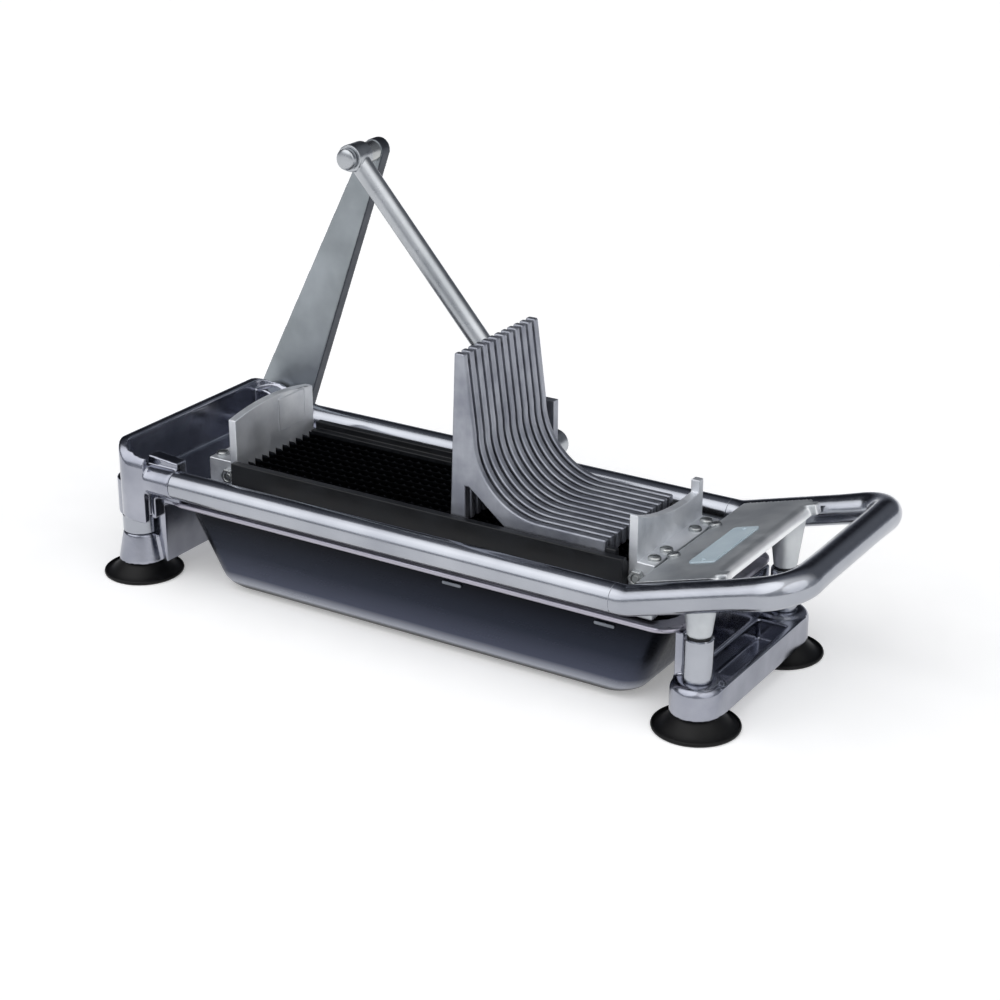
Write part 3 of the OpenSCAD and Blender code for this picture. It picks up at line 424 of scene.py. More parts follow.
def round_rect(half_a, half_b, radius, steps=6):
    """Points of a rectangle with round corners, centred, anticlockwise."""
    points = []
    for turn, (sign_a, sign_b) in enumerate(((1, 1), (-1, 1), (-1, -1), (1, -1))):
        for i in range(steps + 1):
            angle = (turn + i / steps) * math.pi / 2
            points.append((sign_a * (half_a - radius) + radius * math.cos(angle),
                           sign_b * (half_b - radius) + radius * math.sin(angle)))
    return points


def slab(outline, low, high):
    """A flat piece in X and Y between two heights."""
    shape = bmesh.new()
    rings = [[shape.verts.new((x, y, z)) for x, y in outline] for z in (low, high)]
    shape.faces.new(rings[0][::-1])
    shape.faces.new(rings[1])
    for i in range(len(outline)):
        k = (i + 1) % len(outline)
        shape.faces.new((rings[0][i], rings[0][k], rings[1][k], rings[1][i]))
    bmesh.ops.recalc_face_normals(shape, faces=shape.faces)
    return meshed(shape, "slab")


def eased(mesh, width, segments=3):
    """The mesh with its sharp edges rounded off."""
    mesh.shade_smooth()
    return settled(mesh, [
        ("BEVEL", {"width": width, "segments": segments, "limit_method": "ANGLE",
                   "angle_limit": math.radians(35), "use_clamp_overlap": False}),
        ("WEIGHTED_NORMAL", {"keep_sharp": True})])


def joined(meshes):
    """Several meshes as one."""
    shape = bmesh.new()
    for mesh in meshes:
        shape.from_mesh(mesh)
    return smoothed(meshed(shape, "joined"))


def paint_light_by_facing(material, axis, tone, start, full, above=0.0):
    """Paints another tone onto a metal where its surface faces along an axis, either way: painted light or
    shade that follows the facing, not the thing's own colour. The tone comes in from start to full, which
    are shares of facing the axis squarely, above a height."""
    tree = material.node_tree
    lit = tree.nodes["Principled BSDF"]
    place = add(tree, "ShaderNodeTexCoord").outputs
    facing = add(tree, "ShaderNodeSeparateXYZ", {"Vector": place["Normal"]}).outputs[axis]
    facing = add(tree, "ShaderNodeMath", {0: facing}, operation="ABSOLUTE").outputs["Value"]
    share = add(tree, "ShaderNodeMapRange", {"Value": facing, "From Min": start, "From Max": full})
    height = add(tree, "ShaderNodeSeparateXYZ", {"Vector": place["Object"]}).outputs["Z"]
    clear = add(tree, "ShaderNodeMapRange", {
        "Value": height, "From Min": above, "From Max": above + LIP_FADE})
    share = add(tree, "ShaderNodeMath", {0: share.outputs["Result"], 1: clear.outputs["Result"]},
                operation="MULTIPLY")
    plain = lit.inputs["Base Color"].links[0].from_socket
    mixed = add(tree, "ShaderNodeMix", {"Factor": share.outputs["Value"], 6: plain, 7: linear(tone)},
                data_type="RGBA")
    tree.links.new(mixed.outputs[2], lit.inputs["Base Color"])


# Satin cast aluminium: a tumbled grey skin with a breath of green, soft and without mirror images. The front
# lip carries a painted highlight, a near white on its forward-facing faces.
satin_casting = metal("tumbled_cast_aluminium", ("#b9bdc1", "#d0d3d5"), patch_mm=24, grain_mm=(8, 8, 8),
                      roughness=(0.48, 0.6), wave_mm=14, wave_height_mm=0.15)
# Painted highlight: forward-facing faces in the top band of the nose are mixed towards near white.
paint_light_by_facing(satin_casting, "X", "#fafbfc", start=0.35, full=0.7, above=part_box("nose_casting")[1].z - LIP_H)
piece("nose_casting_skin", cast_skin("nose_casting", voxel=0.58 * MM, passes=14), satin_casting, "frame",
      "polished_aluminium", "nose_casting")
tilt = math.atan2(GRIP_RISE, grip_x - bend_x)
bend = Matrix.Translation((bend_x, rail_mid_y, rail_z)) @ Matrix.Rotation(-tilt, 4, "Y")
slope = bend @ Matrix.Translation((BADGE_PLACE[0] + BADGE_SIZE[0] / 2, BADGE_PLACE[1], rail_r))
outline = round_rect(BADGE_SIZE[0] / 2, BADGE_SIZE[1] / 2, BADGE_CORNER)
badge = eased(slab(outline, -BADGE_SINK, BADGE_T), BADGE_EASE)
dome = [(BADGE_T - RIVET_SINK + RIVET_RISE * math.sin(a), RIVET_R * math.cos(a))
        for a in (math.radians(degrees) for degrees in RIVET_ARC)]
rivets = [turned(dome, (0, end * (BADGE_SIZE[1] / 2 - RIVET_INSET), 0), "Z", steps=24) for end in (-1, 1)]
badge = joined([badge] + rivets)
badge.transform(slope)


def moulded(name, tones, patch_mm, roughness, grain_mm, grain_height_mm, specular):
    """A moulded or lacquered surface with a fine grain and slight tone changes. A real mould's
    grain is about 0.2 mm, too fine to show, so grain_mm draws it coarser."""
    material, tree = new_material(name)
    place = add(tree, "ShaderNodeTexCoord").outputs["Object"]
    patches = add(tree, "ShaderNodeTexNoise", {"Vector": place, "Scale": 1000 / patch_mm, "Detail": 3.0})
    colour = add(tree, "ShaderNodeValToRGB", {"Fac": patches.outputs["Fac"]},
                 [(0.35, tones[0]), (0.65, tones[1])]).outputs["Color"]
    gloss = add(tree, "ShaderNodeMapRange", {
        "Value": patches.outputs["Fac"], "From Min": NOISE_BAND[0], "From Max": NOISE_BAND[1],
        "To Min": roughness[0], "To Max": roughness[1]})
    grain = add(tree, "ShaderNodeTexNoise", {"Vector": place, "Scale": 1000 / grain_mm, "Detail": 2.0})
    rough = add(tree, "ShaderNodeBump", {
        "Height": grain.outputs["Fac"], "Strength": MOULD_STRENGTH, "Distance": grain_height_mm * MM})
    lit = add(tree, "ShaderNodeBsdfPrincipled", {
        "Base Color": colour, "Roughness": gloss.outputs["Result"], "Specular IOR Level": specular,
        "Normal": rough.outputs["Normal"]})
    add(tree, "ShaderNodeOutputMaterial", {"Surface": lit.outputs["BSDF"]})
    return material


# Lacquered aluminium sheet: an even pale blue grey with a soft gloss, bare all over.
badge_lacquer = moulded("pale_blue_grey_lacquer", ("#a9bac4", "#b7c6ce"), patch_mm=14,
                        roughness=(0.3, 0.4), grain_mm=1.0, grain_height_mm=0.01, specular=0.5)
piece("bare_badge_plate", badge, badge_lacquer, "frame", None)

# Feet. Two hollow cast cross feet with a boss over each cup, turned posts above them and a
# thin black washer in each leg joint. Long bolts hold cup, foot and post together.
POST_EASE = 0.6 * MM
BOLT_R = 3.1 * MM
for end in ("front", "rear"):
    piece(end + "_foot_skin", cast_skin(end + "_foot", voxel=0.7 * MM, passes=8), polished_aluminium,
          "frame", "polished_aluminium", end + "_foot")
    low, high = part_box(end + "_posts")
    post_r = (high.x - low.x) / 2
    shell = [(low.z, BOLT_R), (low.z, post_r - POST_EASE), (low.z + POST_EASE, post_r),
             (high.z - POST_EASE, post_r), (high.z, post_r - POST_EASE), (high.z, BOLT_R)]
    posts = [turned(shell, ((low.x + high.x) / 2, y, 0), "Z", closed=True)
             for y in (low.y + post_r, high.y - post_r)]
    piece(end + "_post_pair", joined(posts), drawn_aluminium, "frame", "polished_aluminium",
          end + "_posts")

# Suction cups. Moulded black rubber with a soft skirt, a raised bead at its rim and a
# polished mould face that shines.
CUP_BEAD = 1.2 * MM
CUP_BEAD_ARC = (1.2, 0.6, 0, -0.6, -1.2, -1.57)
CUP_NECK_R = 10.0 * MM
CUP_NECK_EASE = 0.5 * MM
CUP_DROP = 1.7
CUP_SPREAD = 0.8
CUP_STATIONS = (0.12, 0.25, 0.4, 0.55, 0.7, 0.85, 0.97)
CUP_LIP = 4.0 * MM
CUP_CROWN_R = 8.0 * MM
CUP_HOLLOW_R = 0.55
CUP_HOLLOW = (0.35, 0.55, 0.6)
# Nitrile rubber from a polished mould: near black, with broad soft highlights.
cup_rubber = moulded("moulded_black_nitrile_rubber", ("#030304", "#080809"), patch_mm=16,
                     roughness=(0.42, 0.55), grain_mm=1.5, grain_height_mm=0.03, specular=0.25)
for end in ("front", "rear"):
    for side in ("near", "far"):
        low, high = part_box(end + "_" + side + "_cup")
        middle = (low + high) / 2
        cup_r = (high.x - low.x) / 2
        cup_h = high.z
        skirt = cup_r - CUP_BEAD - CUP_NECK_R
        outside = [(cup_h, BOLT_R), (cup_h, CUP_NECK_R - CUP_NECK_EASE), (cup_h - CUP_NECK_EASE, CUP_NECK_R)]
        outside += [(cup_h * (1 - t) ** CUP_DROP + CUP_BEAD, CUP_NECK_R + skirt * t ** CUP_SPREAD)
                    for t in CUP_STATIONS]
        outside += [(CUP_BEAD * (1 + math.sin(a)), cup_r - CUP_BEAD + CUP_BEAD * math.cos(a))
                    for a in CUP_BEAD_ARC]
        inside = [(0, cup_r - CUP_LIP), (cup_h * CUP_HOLLOW[0], cup_r * CUP_HOLLOW_R),
                  (cup_h * CUP_HOLLOW[1], CUP_CROWN_R), (cup_h * CUP_HOLLOW[2], BOLT_R)]
        cup = turned(outside + inside, (middle.x, middle.y, 0), "Z", closed=True)
        piece(end + "_" + side + "_rubber_cup", cup, cup_rubber, "frame", "black_rubber",
              end + "_" + side + "_cup")

# Leg hardware. Zinc-plated bolts run up through cups, feet and posts; the black nylon
# washers show as a thin dark line in each leg. Both keep the shape they were drawn with.
# Bright zinc plate: a light neutral grey with small soft highlights.
zinc_plate = metal("bright_zinc_plated_steel", ("#a2a5a6", "#bcbebd"), patch_mm=12, grain_mm=(3, 3, 3),
                   roughness=(0.24, 0.38), wave_mm=6, wave_height_mm=0.03)
# Moulded nylon: a warm black with a silky, slightly uneven sheen.
black_nylon = moulded("moulded_black_nylon", ("#0f1013", "#191b1f"), patch_mm=16, roughness=(0.36, 0.5),
                      grain_mm=0.8, grain_height_mm=0.04, specular=0.4)


def dressed(node, material):
    """Gives a CAD node that shows as it is its real finish."""
    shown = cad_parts[node].data
    shown.materials.clear()
    shown.materials.append(material)


dressed("leg_bolts", zinc_plate)
dressed("leg_washers", black_nylon)

# Side bars and comb stops. Milled black nylon bars between the blade holders, each with a
# ledge and a lip that the comb runs in, and a small buffer where the comb stops.
BAR_EASE = 0.5 * MM
BUFFER_EASE = 0.8 * MM
for side in ("near", "far"):
    piece(side + "_nylon_bar", eased(node_copy(side + "_side_bar"), BAR_EASE), black_nylon, "frame",
          "black_nylon", side + "_side_bar")
piece("comb_buffers", eased(node_copy("comb_stops"), BUFFER_EASE), black_nylon, "frame", "black_nylon",
      "comb_stops")

# Blade holders. Two polished cast brackets, each an upright plate on a slotted block that
# holds the blade ends; the front one has a long hollow and a finger horn.
HOLDER_EASE = 0.6 * MM
# Buffed cast aluminium: the palest metal here, cloudy and soft, with no clear reflections.
bright_aluminium = metal("buffed_cast_aluminium", ("#dadde2", "#f0f2f5"), patch_mm=22, grain_mm=(10, 10, 10),
                         roughness=(0.5, 0.64), wave_mm=14, wave_height_mm=0.2)
for end in ("front", "rear"):
    piece(end + "_holder_bracket", eased(node_copy(end + "_blade_holder"), HOLDER_EASE), bright_aluminium,
          "frame", "polished_aluminium", end + "_blade_holder")

# Blades. Eleven strips of dark spring steel on edge, each with a scalloped top that is
# ground to an edge, so that a thin line of light runs along every scallop.
BLADE_COUNT = 11
BLADE_T = 0.8 * MM
BLADE_EDGE_T = 0.12 * MM
BLADE_GRIND = 2.4 * MM
BRIGHT_BAND = (1.6 * MM, 0.3 * MM)
BLADE_STROKE_MM = (1.2, 0.5, 20)
BLADE_ROUGHNESS = (0.3, 0.5)
SCALLOP = 6.0 * MM
SCALLOP_DEPTH = 1.2 * MM
SCALLOP_ROUND = 0.7
SCALLOP_STEPS = 6
SCALLOP_REAR = 22.0 * MM
SCALLOP_COUNT = 41


def started(name, sockets):
    """A new node tree with named inputs, and the outputs that those inputs give inside it."""
    tree = bpy.data.node_groups.new(name, "GeometryNodeTree")
    for title, kind in sockets.items():
        tree.interface.new_socket(title, in_out="INPUT", socket_type="NodeSocket" + kind)
    tree.interface.new_socket("Geometry", in_out="OUTPUT", socket_type="NodeSocketGeometry")
    return tree, add(tree, "NodeGroupInput").outputs


def copies_at(tree, points, given):
    """Ends a node tree: the given part at every point, as real geometry in the given finish."""
    model = add(tree, "GeometryNodeObjectInfo", {"Object": given["Part"]})
    copies = add(tree, "GeometryNodeInstanceOnPoints", {
        "Points": points, "Instance": model.outputs["Geometry"]})
    real = add(tree, "GeometryNodeRealizeInstances", {"Geometry": copies.outputs["Instances"]})
    finished = add(tree, "GeometryNodeSetMaterial", {
        "Geometry": real.outputs["Geometry"], "Material": given["Finish"]})
    add(tree, "NodeGroupOutput", {"Geometry": finished.outputs["Geometry"]})


def grown(tree, part, values, spots=()):
    """The plain mesh that a node tree makes from a part, on the given spots if it takes any."""
    model = bpy.data.objects.new("model", part)
    host_mesh = bpy.data.meshes.new("host")
    host_mesh.from_pydata([tuple(spot) for spot in spots], [], [])
    host = bpy.data.objects.new("host", host_mesh)
    for thing in (model, host):
        bpy.context.scene.collection.objects.link(thing)
    modifier = host.modifiers.new("copies", "NODES")
    modifier.node_group = tree
    for socket in tree.interface.items_tree:
        if socket.in_out == "INPUT" and socket.name in {"Part", *values}:
            modifier[socket.identifier] = model if socket.name == "Part" else values[socket.name]
    graph = bpy.context.evaluated_depsgraph_get()
    mesh = bpy.data.meshes.new_from_object(host.evaluated_get(graph), depsgraph=graph)
    for thing in (model, host):
        bpy.data.objects.remove(thing)
    return mesh


def row_of(name, part, count, start, step, material):
    """Copies of a part in a row, made by a node tree, as one plain mesh."""
    tree, given = started(name, {"Part": "Object", "Count": "Int", "Start": "Vector", "Step": "Vector",
                                 "Finish": "Material"})
    line = add(tree, "GeometryNodeMeshLine", {
        "Count": given["Count"], "Start Location": given["Start"], "Offset": given["Step"]})
    copies_at(tree, line.outputs["Mesh"], given)
    return grown(tree, part, {"Count": count, "Start": start, "Step": step, "Finish": material})


# Blackened spring steel: nearly black on its sides, bare bright metal on the ground edge. The
# grinding strokes are drawn coarser than real ones, which would be too fine to show.
blade_steel, tree = new_material("blackened_spring_steel_ground_edge")
place = add(tree, "ShaderNodeTexCoord").outputs["Object"]
blade_low, blade_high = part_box("blades")
height = add(tree, "ShaderNodeSeparateXYZ", {"Vector": place}).outputs["Z"]
ground = add(tree, "ShaderNodeMapRange", {
    "Value": height, "From Min": blade_high.z - BRIGHT_BAND[0], "From Max": blade_high.z - BRIGHT_BAND[1]})
colour = add(tree, "ShaderNodeValToRGB", {"Fac": ground.outputs["Result"]},
             [(0.0, "#101113"), (1.0, "#3c3e43")]).outputs["Color"]
strokes = add(tree, "ShaderNodeMapping", {"Vector": place, "Scale": [1000 / s for s in BLADE_STROKE_MM]})
lines = add(tree, "ShaderNodeTexNoise", {"Vector": strokes.outputs["Vector"], "Scale": 1.0, "Detail": 2.0})
gloss = add(tree, "ShaderNodeMapRange", {
    "Value": lines.outputs["Fac"], "From Min": NOISE_BAND[0], "From Max": NOISE_BAND[1],
    "To Min": BLADE_ROUGHNESS[0], "To Max": BLADE_ROUGHNESS[1]})
lit = add(tree, "ShaderNodeBsdfPrincipled", {
    "Base Color": colour, "Metallic": 1.0, "Roughness": gloss.outputs["Result"]})
add(tree, "ShaderNodeOutputMaterial", {"Surface": lit.outputs["BSDF"]})

stations = [(blade_low.x, 0.0)]
for i in range(SCALLOP_COUNT * SCALLOP_STEPS + 1):
    share = (i % SCALLOP_STEPS) / SCALLOP_STEPS
    stations.append((blade_low.x + SCALLOP_REAR + SCALLOP * i / SCALLOP_STEPS,
                     SCALLOP_DEPTH * math.sin(math.pi * share) ** SCALLOP_ROUND if share else 0.0))
stations.append((blade_high.x, 0.0))
rings = []
for x, dip in stations:
    top = blade_high.z - dip
    ring = [(-BLADE_T / 2, blade_low.z), (BLADE_T / 2, blade_low.z), (BLADE_T / 2, top - BLADE_GRIND),
            (BLADE_EDGE_T / 2, top), (-BLADE_EDGE_T / 2, top), (-BLADE_T / 2, top - BLADE_GRIND)]
    rings.append([(x, y, z) for y, z in ring])
blade = lofted(rings)
blade_pitch = (blade_high.y - blade_low.y - BLADE_T) / (BLADE_COUNT - 1)
blade_row = row_of("blade_row", blade, BLADE_COUNT, (0, blade_low.y + BLADE_T / 2, 0), (0, blade_pitch, 0),
                   blade_steel)
piece("blade_set", blade_row, blade_steel, "frame", "blade_steel", "blades")

# Blade pins and their nuts. A plated pin runs across all blade ends in each holder, with a
# chamfered hexagon nut at each side that the pin's end stands a little back in.
NUT_T = 3.0 * MM
NUT_CHAMFER = 0.45 * MM
PIN_SETBACK = 0.4 * MM
PIN_CHAMFER = 0.6 * MM
PIN_FIT = 0.05 * MM


def cut_away(mesh, tool):
    """The mesh with the tool's shape cut out of it."""
    cutter = bpy.data.objects.new("cutter", tool)
    bpy.context.scene.collection.objects.link(cutter)
    left = settled(mesh, [("BOOLEAN", {"object": cutter, "operation": "DIFFERENCE"})])
    bpy.data.objects.remove(cutter)
    return left


def set_at(name, part, spots, material):
    """Copies of a part at the given spots, made by a node tree, as one plain mesh."""
    tree, given = started(name, {"Spots": "Geometry", "Part": "Object", "Finish": "Material"})
    copies_at(tree, given["Spots"], given)
    return grown(tree, part, {"Finish": material}, spots)


nut_low, nut_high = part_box("blade_pin_nuts")
pin_spots = []
for end in ("front", "rear"):
    low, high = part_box(end + "_blade_pin")
    middle = (low + high) / 2
    pin_r = (high.z - low.z) / 2
    pin = [(low.y + PIN_SETBACK, pin_r - PIN_CHAMFER), (low.y + PIN_SETBACK + PIN_CHAMFER, pin_r),
           (high.y - PIN_SETBACK - PIN_CHAMFER, pin_r), (high.y - PIN_SETBACK, pin_r - PIN_CHAMFER)]
    piece(end + "_blade_pin_bar", turned(pin, (middle.x, 0, middle.z), "Y", steps=40), zinc_plate,
          "frame", "zinc_steel", end + "_blade_pin")
    pin_spots.append(middle)
nut_r = (nut_high.x - nut_low.x - (pin_spots[0].x - pin_spots[1].x)) / 2
hexagon = [(nut_r * math.cos(a), nut_r * math.sin(a)) for a in (i * math.pi / 3 for i in range(6))]
bore = turned([(-NUT_T, pin_r + PIN_FIT), (NUT_T, pin_r + PIN_FIT)], (0, 0, 0), "Z", steps=40)
nut = eased(cut_away(slab(hexagon, -NUT_T / 2, NUT_T / 2), bore), NUT_CHAMFER, segments=2)
nut.transform(Matrix.Rotation(math.pi / 2, 4, "X"))
spots = [(spot.x, y, spot.z) for spot in pin_spots
         for y in (nut_low.y + NUT_T / 2, nut_high.y - NUT_T / 2)]
piece("blade_nut_set", set_at("blade_nuts", nut, spots, zinc_plate), zinc_plate, "frame", "zinc_steel",
      "blade_pin_nuts")

# Screws of the blade frame and the nose. Plated pan-head screws with a straight slot, set
# into the holders and the nose from above; the side bars are held from below.
HEAD_R = 3.5 * MM
HEAD_H = 2.2 * MM
HEAD_WALL = 0.45
HEAD_FLAT = 0.25
HEAD_ARC = (0.3, 0.6, 0.9, 1.2, 1.5)
SLOT_W = 1.0 * MM
SLOT_FLOOR = 0.55
SHANK_R = 2.0 * MM
HOLDER_LANDS = (1.0, 3.0)
HOLDER_SCREW_TURN = 0.6
NOSE_SHANK = 8.0 * MM
NOSE_SCREW_RUN = 7.0 * MM
NOSE_SCREW_TURN = 0.9


def slotted_screw(shank):
    """A pan-head screw, standing with its head's seat at the origin."""
    dome = [(-shank, SHANK_R), (0, SHANK_R), (0, HEAD_R), (HEAD_H * HEAD_WALL, HEAD_R)]
    dome += [(HEAD_H * (HEAD_WALL + (1 - HEAD_WALL) * math.sin(a)),
              HEAD_R * (HEAD_FLAT + (1 - HEAD_FLAT) * math.cos(a))) for a in HEAD_ARC]
    body = turned(dome, (0, 0, 0), "Z", steps=40)
    reach = 2 * HEAD_R
    slot = [(-reach, -SLOT_W / 2), (reach, -SLOT_W / 2), (reach, SLOT_W / 2), (-reach, SLOT_W / 2)]
    cut = cut_away(body, slab(slot, HEAD_H * SLOT_FLOOR, HEAD_H * 2))
    cut.set_sharp_from_angle(angle=math.radians(32))
    return cut


low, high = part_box("holder_screws")
screw = slotted_screw(high.z - low.z - HEAD_H)
screw.transform(Matrix.Rotation(HOLDER_SCREW_TURN, 4, "Z"))
blade_mid_y = (blade_low.y + blade_high.y) / 2
spots = [(x, blade_mid_y + side * (BLADE_COUNT / 2 - land) * blade_pitch, high.z - HEAD_H)
         for x in (low.x + HEAD_R, high.x - HEAD_R) for side in (-1, 1) for land in HOLDER_LANDS]
piece("holder_screw_set", set_at("holder_screw_spots", screw, spots, zinc_plate), zinc_plate, "frame",
      "zinc_steel", "holder_screws")
low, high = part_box("nose_screws")
screw = slotted_screw(NOSE_SHANK)
screw.transform(Matrix.Rotation(-tilt, 4, "Y") @ Matrix.Rotation(NOSE_SCREW_TURN, 4, "Z"))
seat = Matrix.Rotation(-tilt, 4, "Y") @ Vector((NOSE_SCREW_RUN, 0, rail_r))
spots = [(bend_x + seat.x, y, rail_z + seat.z) for y in (low.y + HEAD_R, high.y - HEAD_R)]
piece("nose_screw_pair", set_at("nose_screw_spots", screw, spots, zinc_plate), zinc_plate, "frame",
      "zinc_steel", "nose_screws")
dressed("bar_screws", zinc_plate)

# Comb. Twelve cast fins, satin with the grain of the polishing belt up and down, stand side
# by side on thin rods. A back plate is let into all but the near one and carries the ear.
FIN_COUNT = 12
FIN_T = 4.0 * MM
FIN_TOP = 5.8 * MM
FIN_DEPTH = 11.5 * MM
FIN_LEAN = 3.3 * MM
FIN_LEG = 9.3 * MM
FIN_BAND = 9.2 * MM
FIN_GAP = (27.4 * MM, 20.5 * MM)
FIN_GAP_TIP = 2.4 * MM
FIN_SEAT_R = 40.0 * MM
FIN_EASE = 1.0 * MM
NOTCH_FRONT = 7.6 * MM
NOTCH_LOW = 34.76 * MM
NOTCH_TOP = 85.0 * MM
SPINE_EASE = 0.3 * MM
ARC_STEPS = 24
# Belt-ground cast aluminium: a mid blue grey with a streaky sheen that runs up the fins.
comb_metal = metal("belt_ground_cast_aluminium", ("#90939d", "#acafb7"), patch_mm=18, grain_mm=(3, 1.2, 30),
                   roughness=(0.42, 0.58), wave_mm=12, wave_height_mm=0.12)
low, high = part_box("comb_fins")
top_rear = low.x + FIN_LEAN
seat_x = top_rear + FIN_DEPTH + FIN_SEAT_R
seat_z = low.z + FIN_BAND + FIN_SEAT_R
leg_x = low.x + FIN_LEG
outline = [(low.x, low.z), (leg_x, low.z), (leg_x, low.z + FIN_GAP[1]),
           (leg_x + FIN_GAP_TIP, low.z + FIN_GAP[1]), (leg_x + FIN_GAP[0], low.z), (high.x, low.z),
           (high.x, low.z + FIN_BAND)]
for i in range(ARC_STEPS + 1):
    angle = 1.5 * math.pi - math.pi / 2 * i / ARC_STEPS
    outline.append((seat_x + FIN_SEAT_R * math.cos(angle), seat_z + FIN_SEAT_R * math.sin(angle)))
outline += [(top_rear + FIN_TOP, high.z), (top_rear, high.z)]
lean = FIN_LEAN / (high.z - low.z)
notch = [(low.x + lean * NOTCH_TOP, low.z + NOTCH_TOP), (low.x + NOTCH_FRONT, low.z + NOTCH_TOP),
         (low.x + NOTCH_FRONT, low.z + NOTCH_LOW), (low.x + lean * NOTCH_LOW, low.z + NOTCH_LOW)]
fin_step = (high.y - low.y - FIN_T) / (FIN_COUNT - 1)
fins = []
for name, edge, count, first in (("near_fin", outline, 1, 0),
                                 ("fin_row", outline + notch, FIN_COUNT - 1, 1)):
    fin = slab(edge, -FIN_T / 2, FIN_T / 2)
    fin.transform(Matrix.Rotation(math.pi / 2, 4, "X"))
    fins.append(row_of(name, eased(fin, FIN_EASE), count, (0, low.y + FIN_T / 2 + first * fin_step, 0),
                       (0, fin_step, 0), comb_metal))
piece("comb_fin_set", joined(fins), comb_metal, "comb", "satin_aluminium", "comb_fins")
piece("comb_back_plate", eased(node_copy("comb_spine"), SPINE_EASE), comb_metal, "comb", "satin_aluminium",
      "comb_spine")
dressed("comb_tie_rods", zinc_plate)

# Swing arm. A flat tapering casting with belt-ground faces and painted shade on its narrow edges, on a
# bronze bush and a shoulder bolt with a round head.
BOLT_HEAD_H = 5.0 * MM
BOLT_HEAD_EASE = 1.2 * MM
BOLT_SHOULDER = 13.0 * MM
BOLT_STEP = 1.0 * MM
BOLT_STEP_RUN = 3.3 * MM
BOLT_DIMPLE = 2.0 * MM
BOLT_DIMPLE_R = (0.45, 0.4)
ROUND_MIDDLE = 0.3
# Satin aluminium: a soft blue grey, with painted shade darkening the narrow edges all round.
arm_metal = metal("satin_cast_aluminium", ("#93999d", "#a5abb0"), patch_mm=40, grain_mm=(8, 8, 8),
                  roughness=(0.42, 0.52), wave_mm=22, wave_height_mm=0.1)
# Painted shade: every face that does not look along Y, that is the edges, is mixed to a dark grey.
paint_light_by_facing(arm_metal, "Y", "#4b4e55", start=0.95, full=0.6)
piece("swing_arm_skin", cast_skin("swing_arm", voxel=0.6 * MM, passes=7), arm_metal, "arm",
      "satin_aluminium", "swing_arm")
# Sintered bronze: a dull brown yellow.
bronze = metal("sintered_bronze", ("#8a6c3c", "#a98950"), patch_mm=8, grain_mm=(2, 2, 2),
               roughness=(0.4, 0.55), wave_mm=3, wave_height_mm=0.03)
dressed("pivot_bush", bronze)
low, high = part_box("pivot_bolt")
middle = (low + high) / 2
bolt_head_r = (high.x - low.x) / 2
bolt_r = bolt_head_r / 2
head_y = high.y - BOLT_HEAD_H
step_y = head_y - BOLT_SHOULDER
bolt = [(low.y, bolt_r - BOLT_STEP), (step_y, bolt_r - BOLT_STEP), (step_y + BOLT_STEP_RUN, bolt_r),
        (head_y, bolt_r), (head_y, bolt_head_r), (high.y - BOLT_HEAD_EASE, bolt_head_r),
        (high.y - BOLT_HEAD_EASE * ROUND_MIDDLE, bolt_head_r - BOLT_HEAD_EASE * ROUND_MIDDLE),
        (high.y, bolt_head_r - BOLT_HEAD_EASE), (high.y, bolt_head_r * BOLT_DIMPLE_R[0]),
        (high.y - BOLT_DIMPLE, bolt_head_r * BOLT_DIMPLE_R[1])]
piece("pivot_shoulder_bolt", turned(bolt, (middle.x, 0, middle.z), "Y"), zinc_plate, "frame", "zinc_steel",
      "pivot_bolt")
dressed("pivot_washer", zinc_plate)

# Top pin of the arm. A headed pin, pressed into the arm, carries the rod; a spacer and a
# cap nut keep the rod in its place.
PIN_R = 3.5 * MM
PIN_TIP = 0.4 * MM
PIN_HEAD_H = 2.0 * MM
PIN_HEAD_EASE = (0.9 * MM, 0.3 * MM)
PIN_CROWN = (0.85, 0.5)
CAP_EASE = 1.5 * MM
CAP_CROWN = ((0, 0.4), (0.25, 0.75), (0.6, 0.93), (1, 1))
CAP_FOOT = 0.3 * MM
CAP_FIT = 0.02 * MM
CAP_WALL = 1.0 * MM
# Ground stainless steel: a clean light grey with one long soft highlight.
rod_metal = metal("ground_stainless_steel", ("#a3a7ab", "#b9bcc0"), patch_mm=40, grain_mm=(4, 4, 4),
                  roughness=(0.26, 0.34), wave_mm=30, wave_height_mm=0.04)
low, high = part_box("apex_pin")
middle = (low + high) / 2
pin_head_r = (high.x - low.x) / 2
pin = [(low.y, PIN_R - PIN_TIP), (low.y + PIN_TIP, PIN_R), (high.y - PIN_HEAD_H, PIN_R),
       (high.y - PIN_HEAD_H, pin_head_r), (high.y - PIN_HEAD_EASE[0], pin_head_r),
       (high.y - PIN_HEAD_EASE[1], pin_head_r * PIN_CROWN[0]), (high.y, pin_head_r * PIN_CROWN[1])]
piece("top_pin", turned(pin, (middle.x, 0, middle.z), "Y"), zinc_plate, "arm", "zinc_steel", "apex_pin")
low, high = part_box("apex_nut")
cap_r = (high.x - low.x) / 2
cap = [(low.y + CAP_EASE * along, cap_r * out) for along, out in CAP_CROWN]
cap += [(high.y - CAP_FOOT, cap_r), (high.y, cap_r - CAP_FOOT), (high.y, PIN_R + CAP_FIT),
        (low.y + CAP_WALL, PIN_R + CAP_FIT)]
piece("top_cap_nut", turned(cap, (middle.x, 0, middle.z), "Y"), rod_metal, "arm", "stainless_steel",
      "apex_nut")
dressed("apex_spacer", zinc_plate)

# Push rod. A ground stainless bar with a round eye at each end. The lower eye carries the
# pin that runs in the comb's slot, with a clip on its end.
piece("push_rod_bar", cast_skin("push_rod", voxel=0.45 * MM, passes=6), rod_metal, "rod",
      "stainless_steel", "push_rod")
dressed("link_pin", zinc_plate)
dressed("link_clip", zinc_plate)

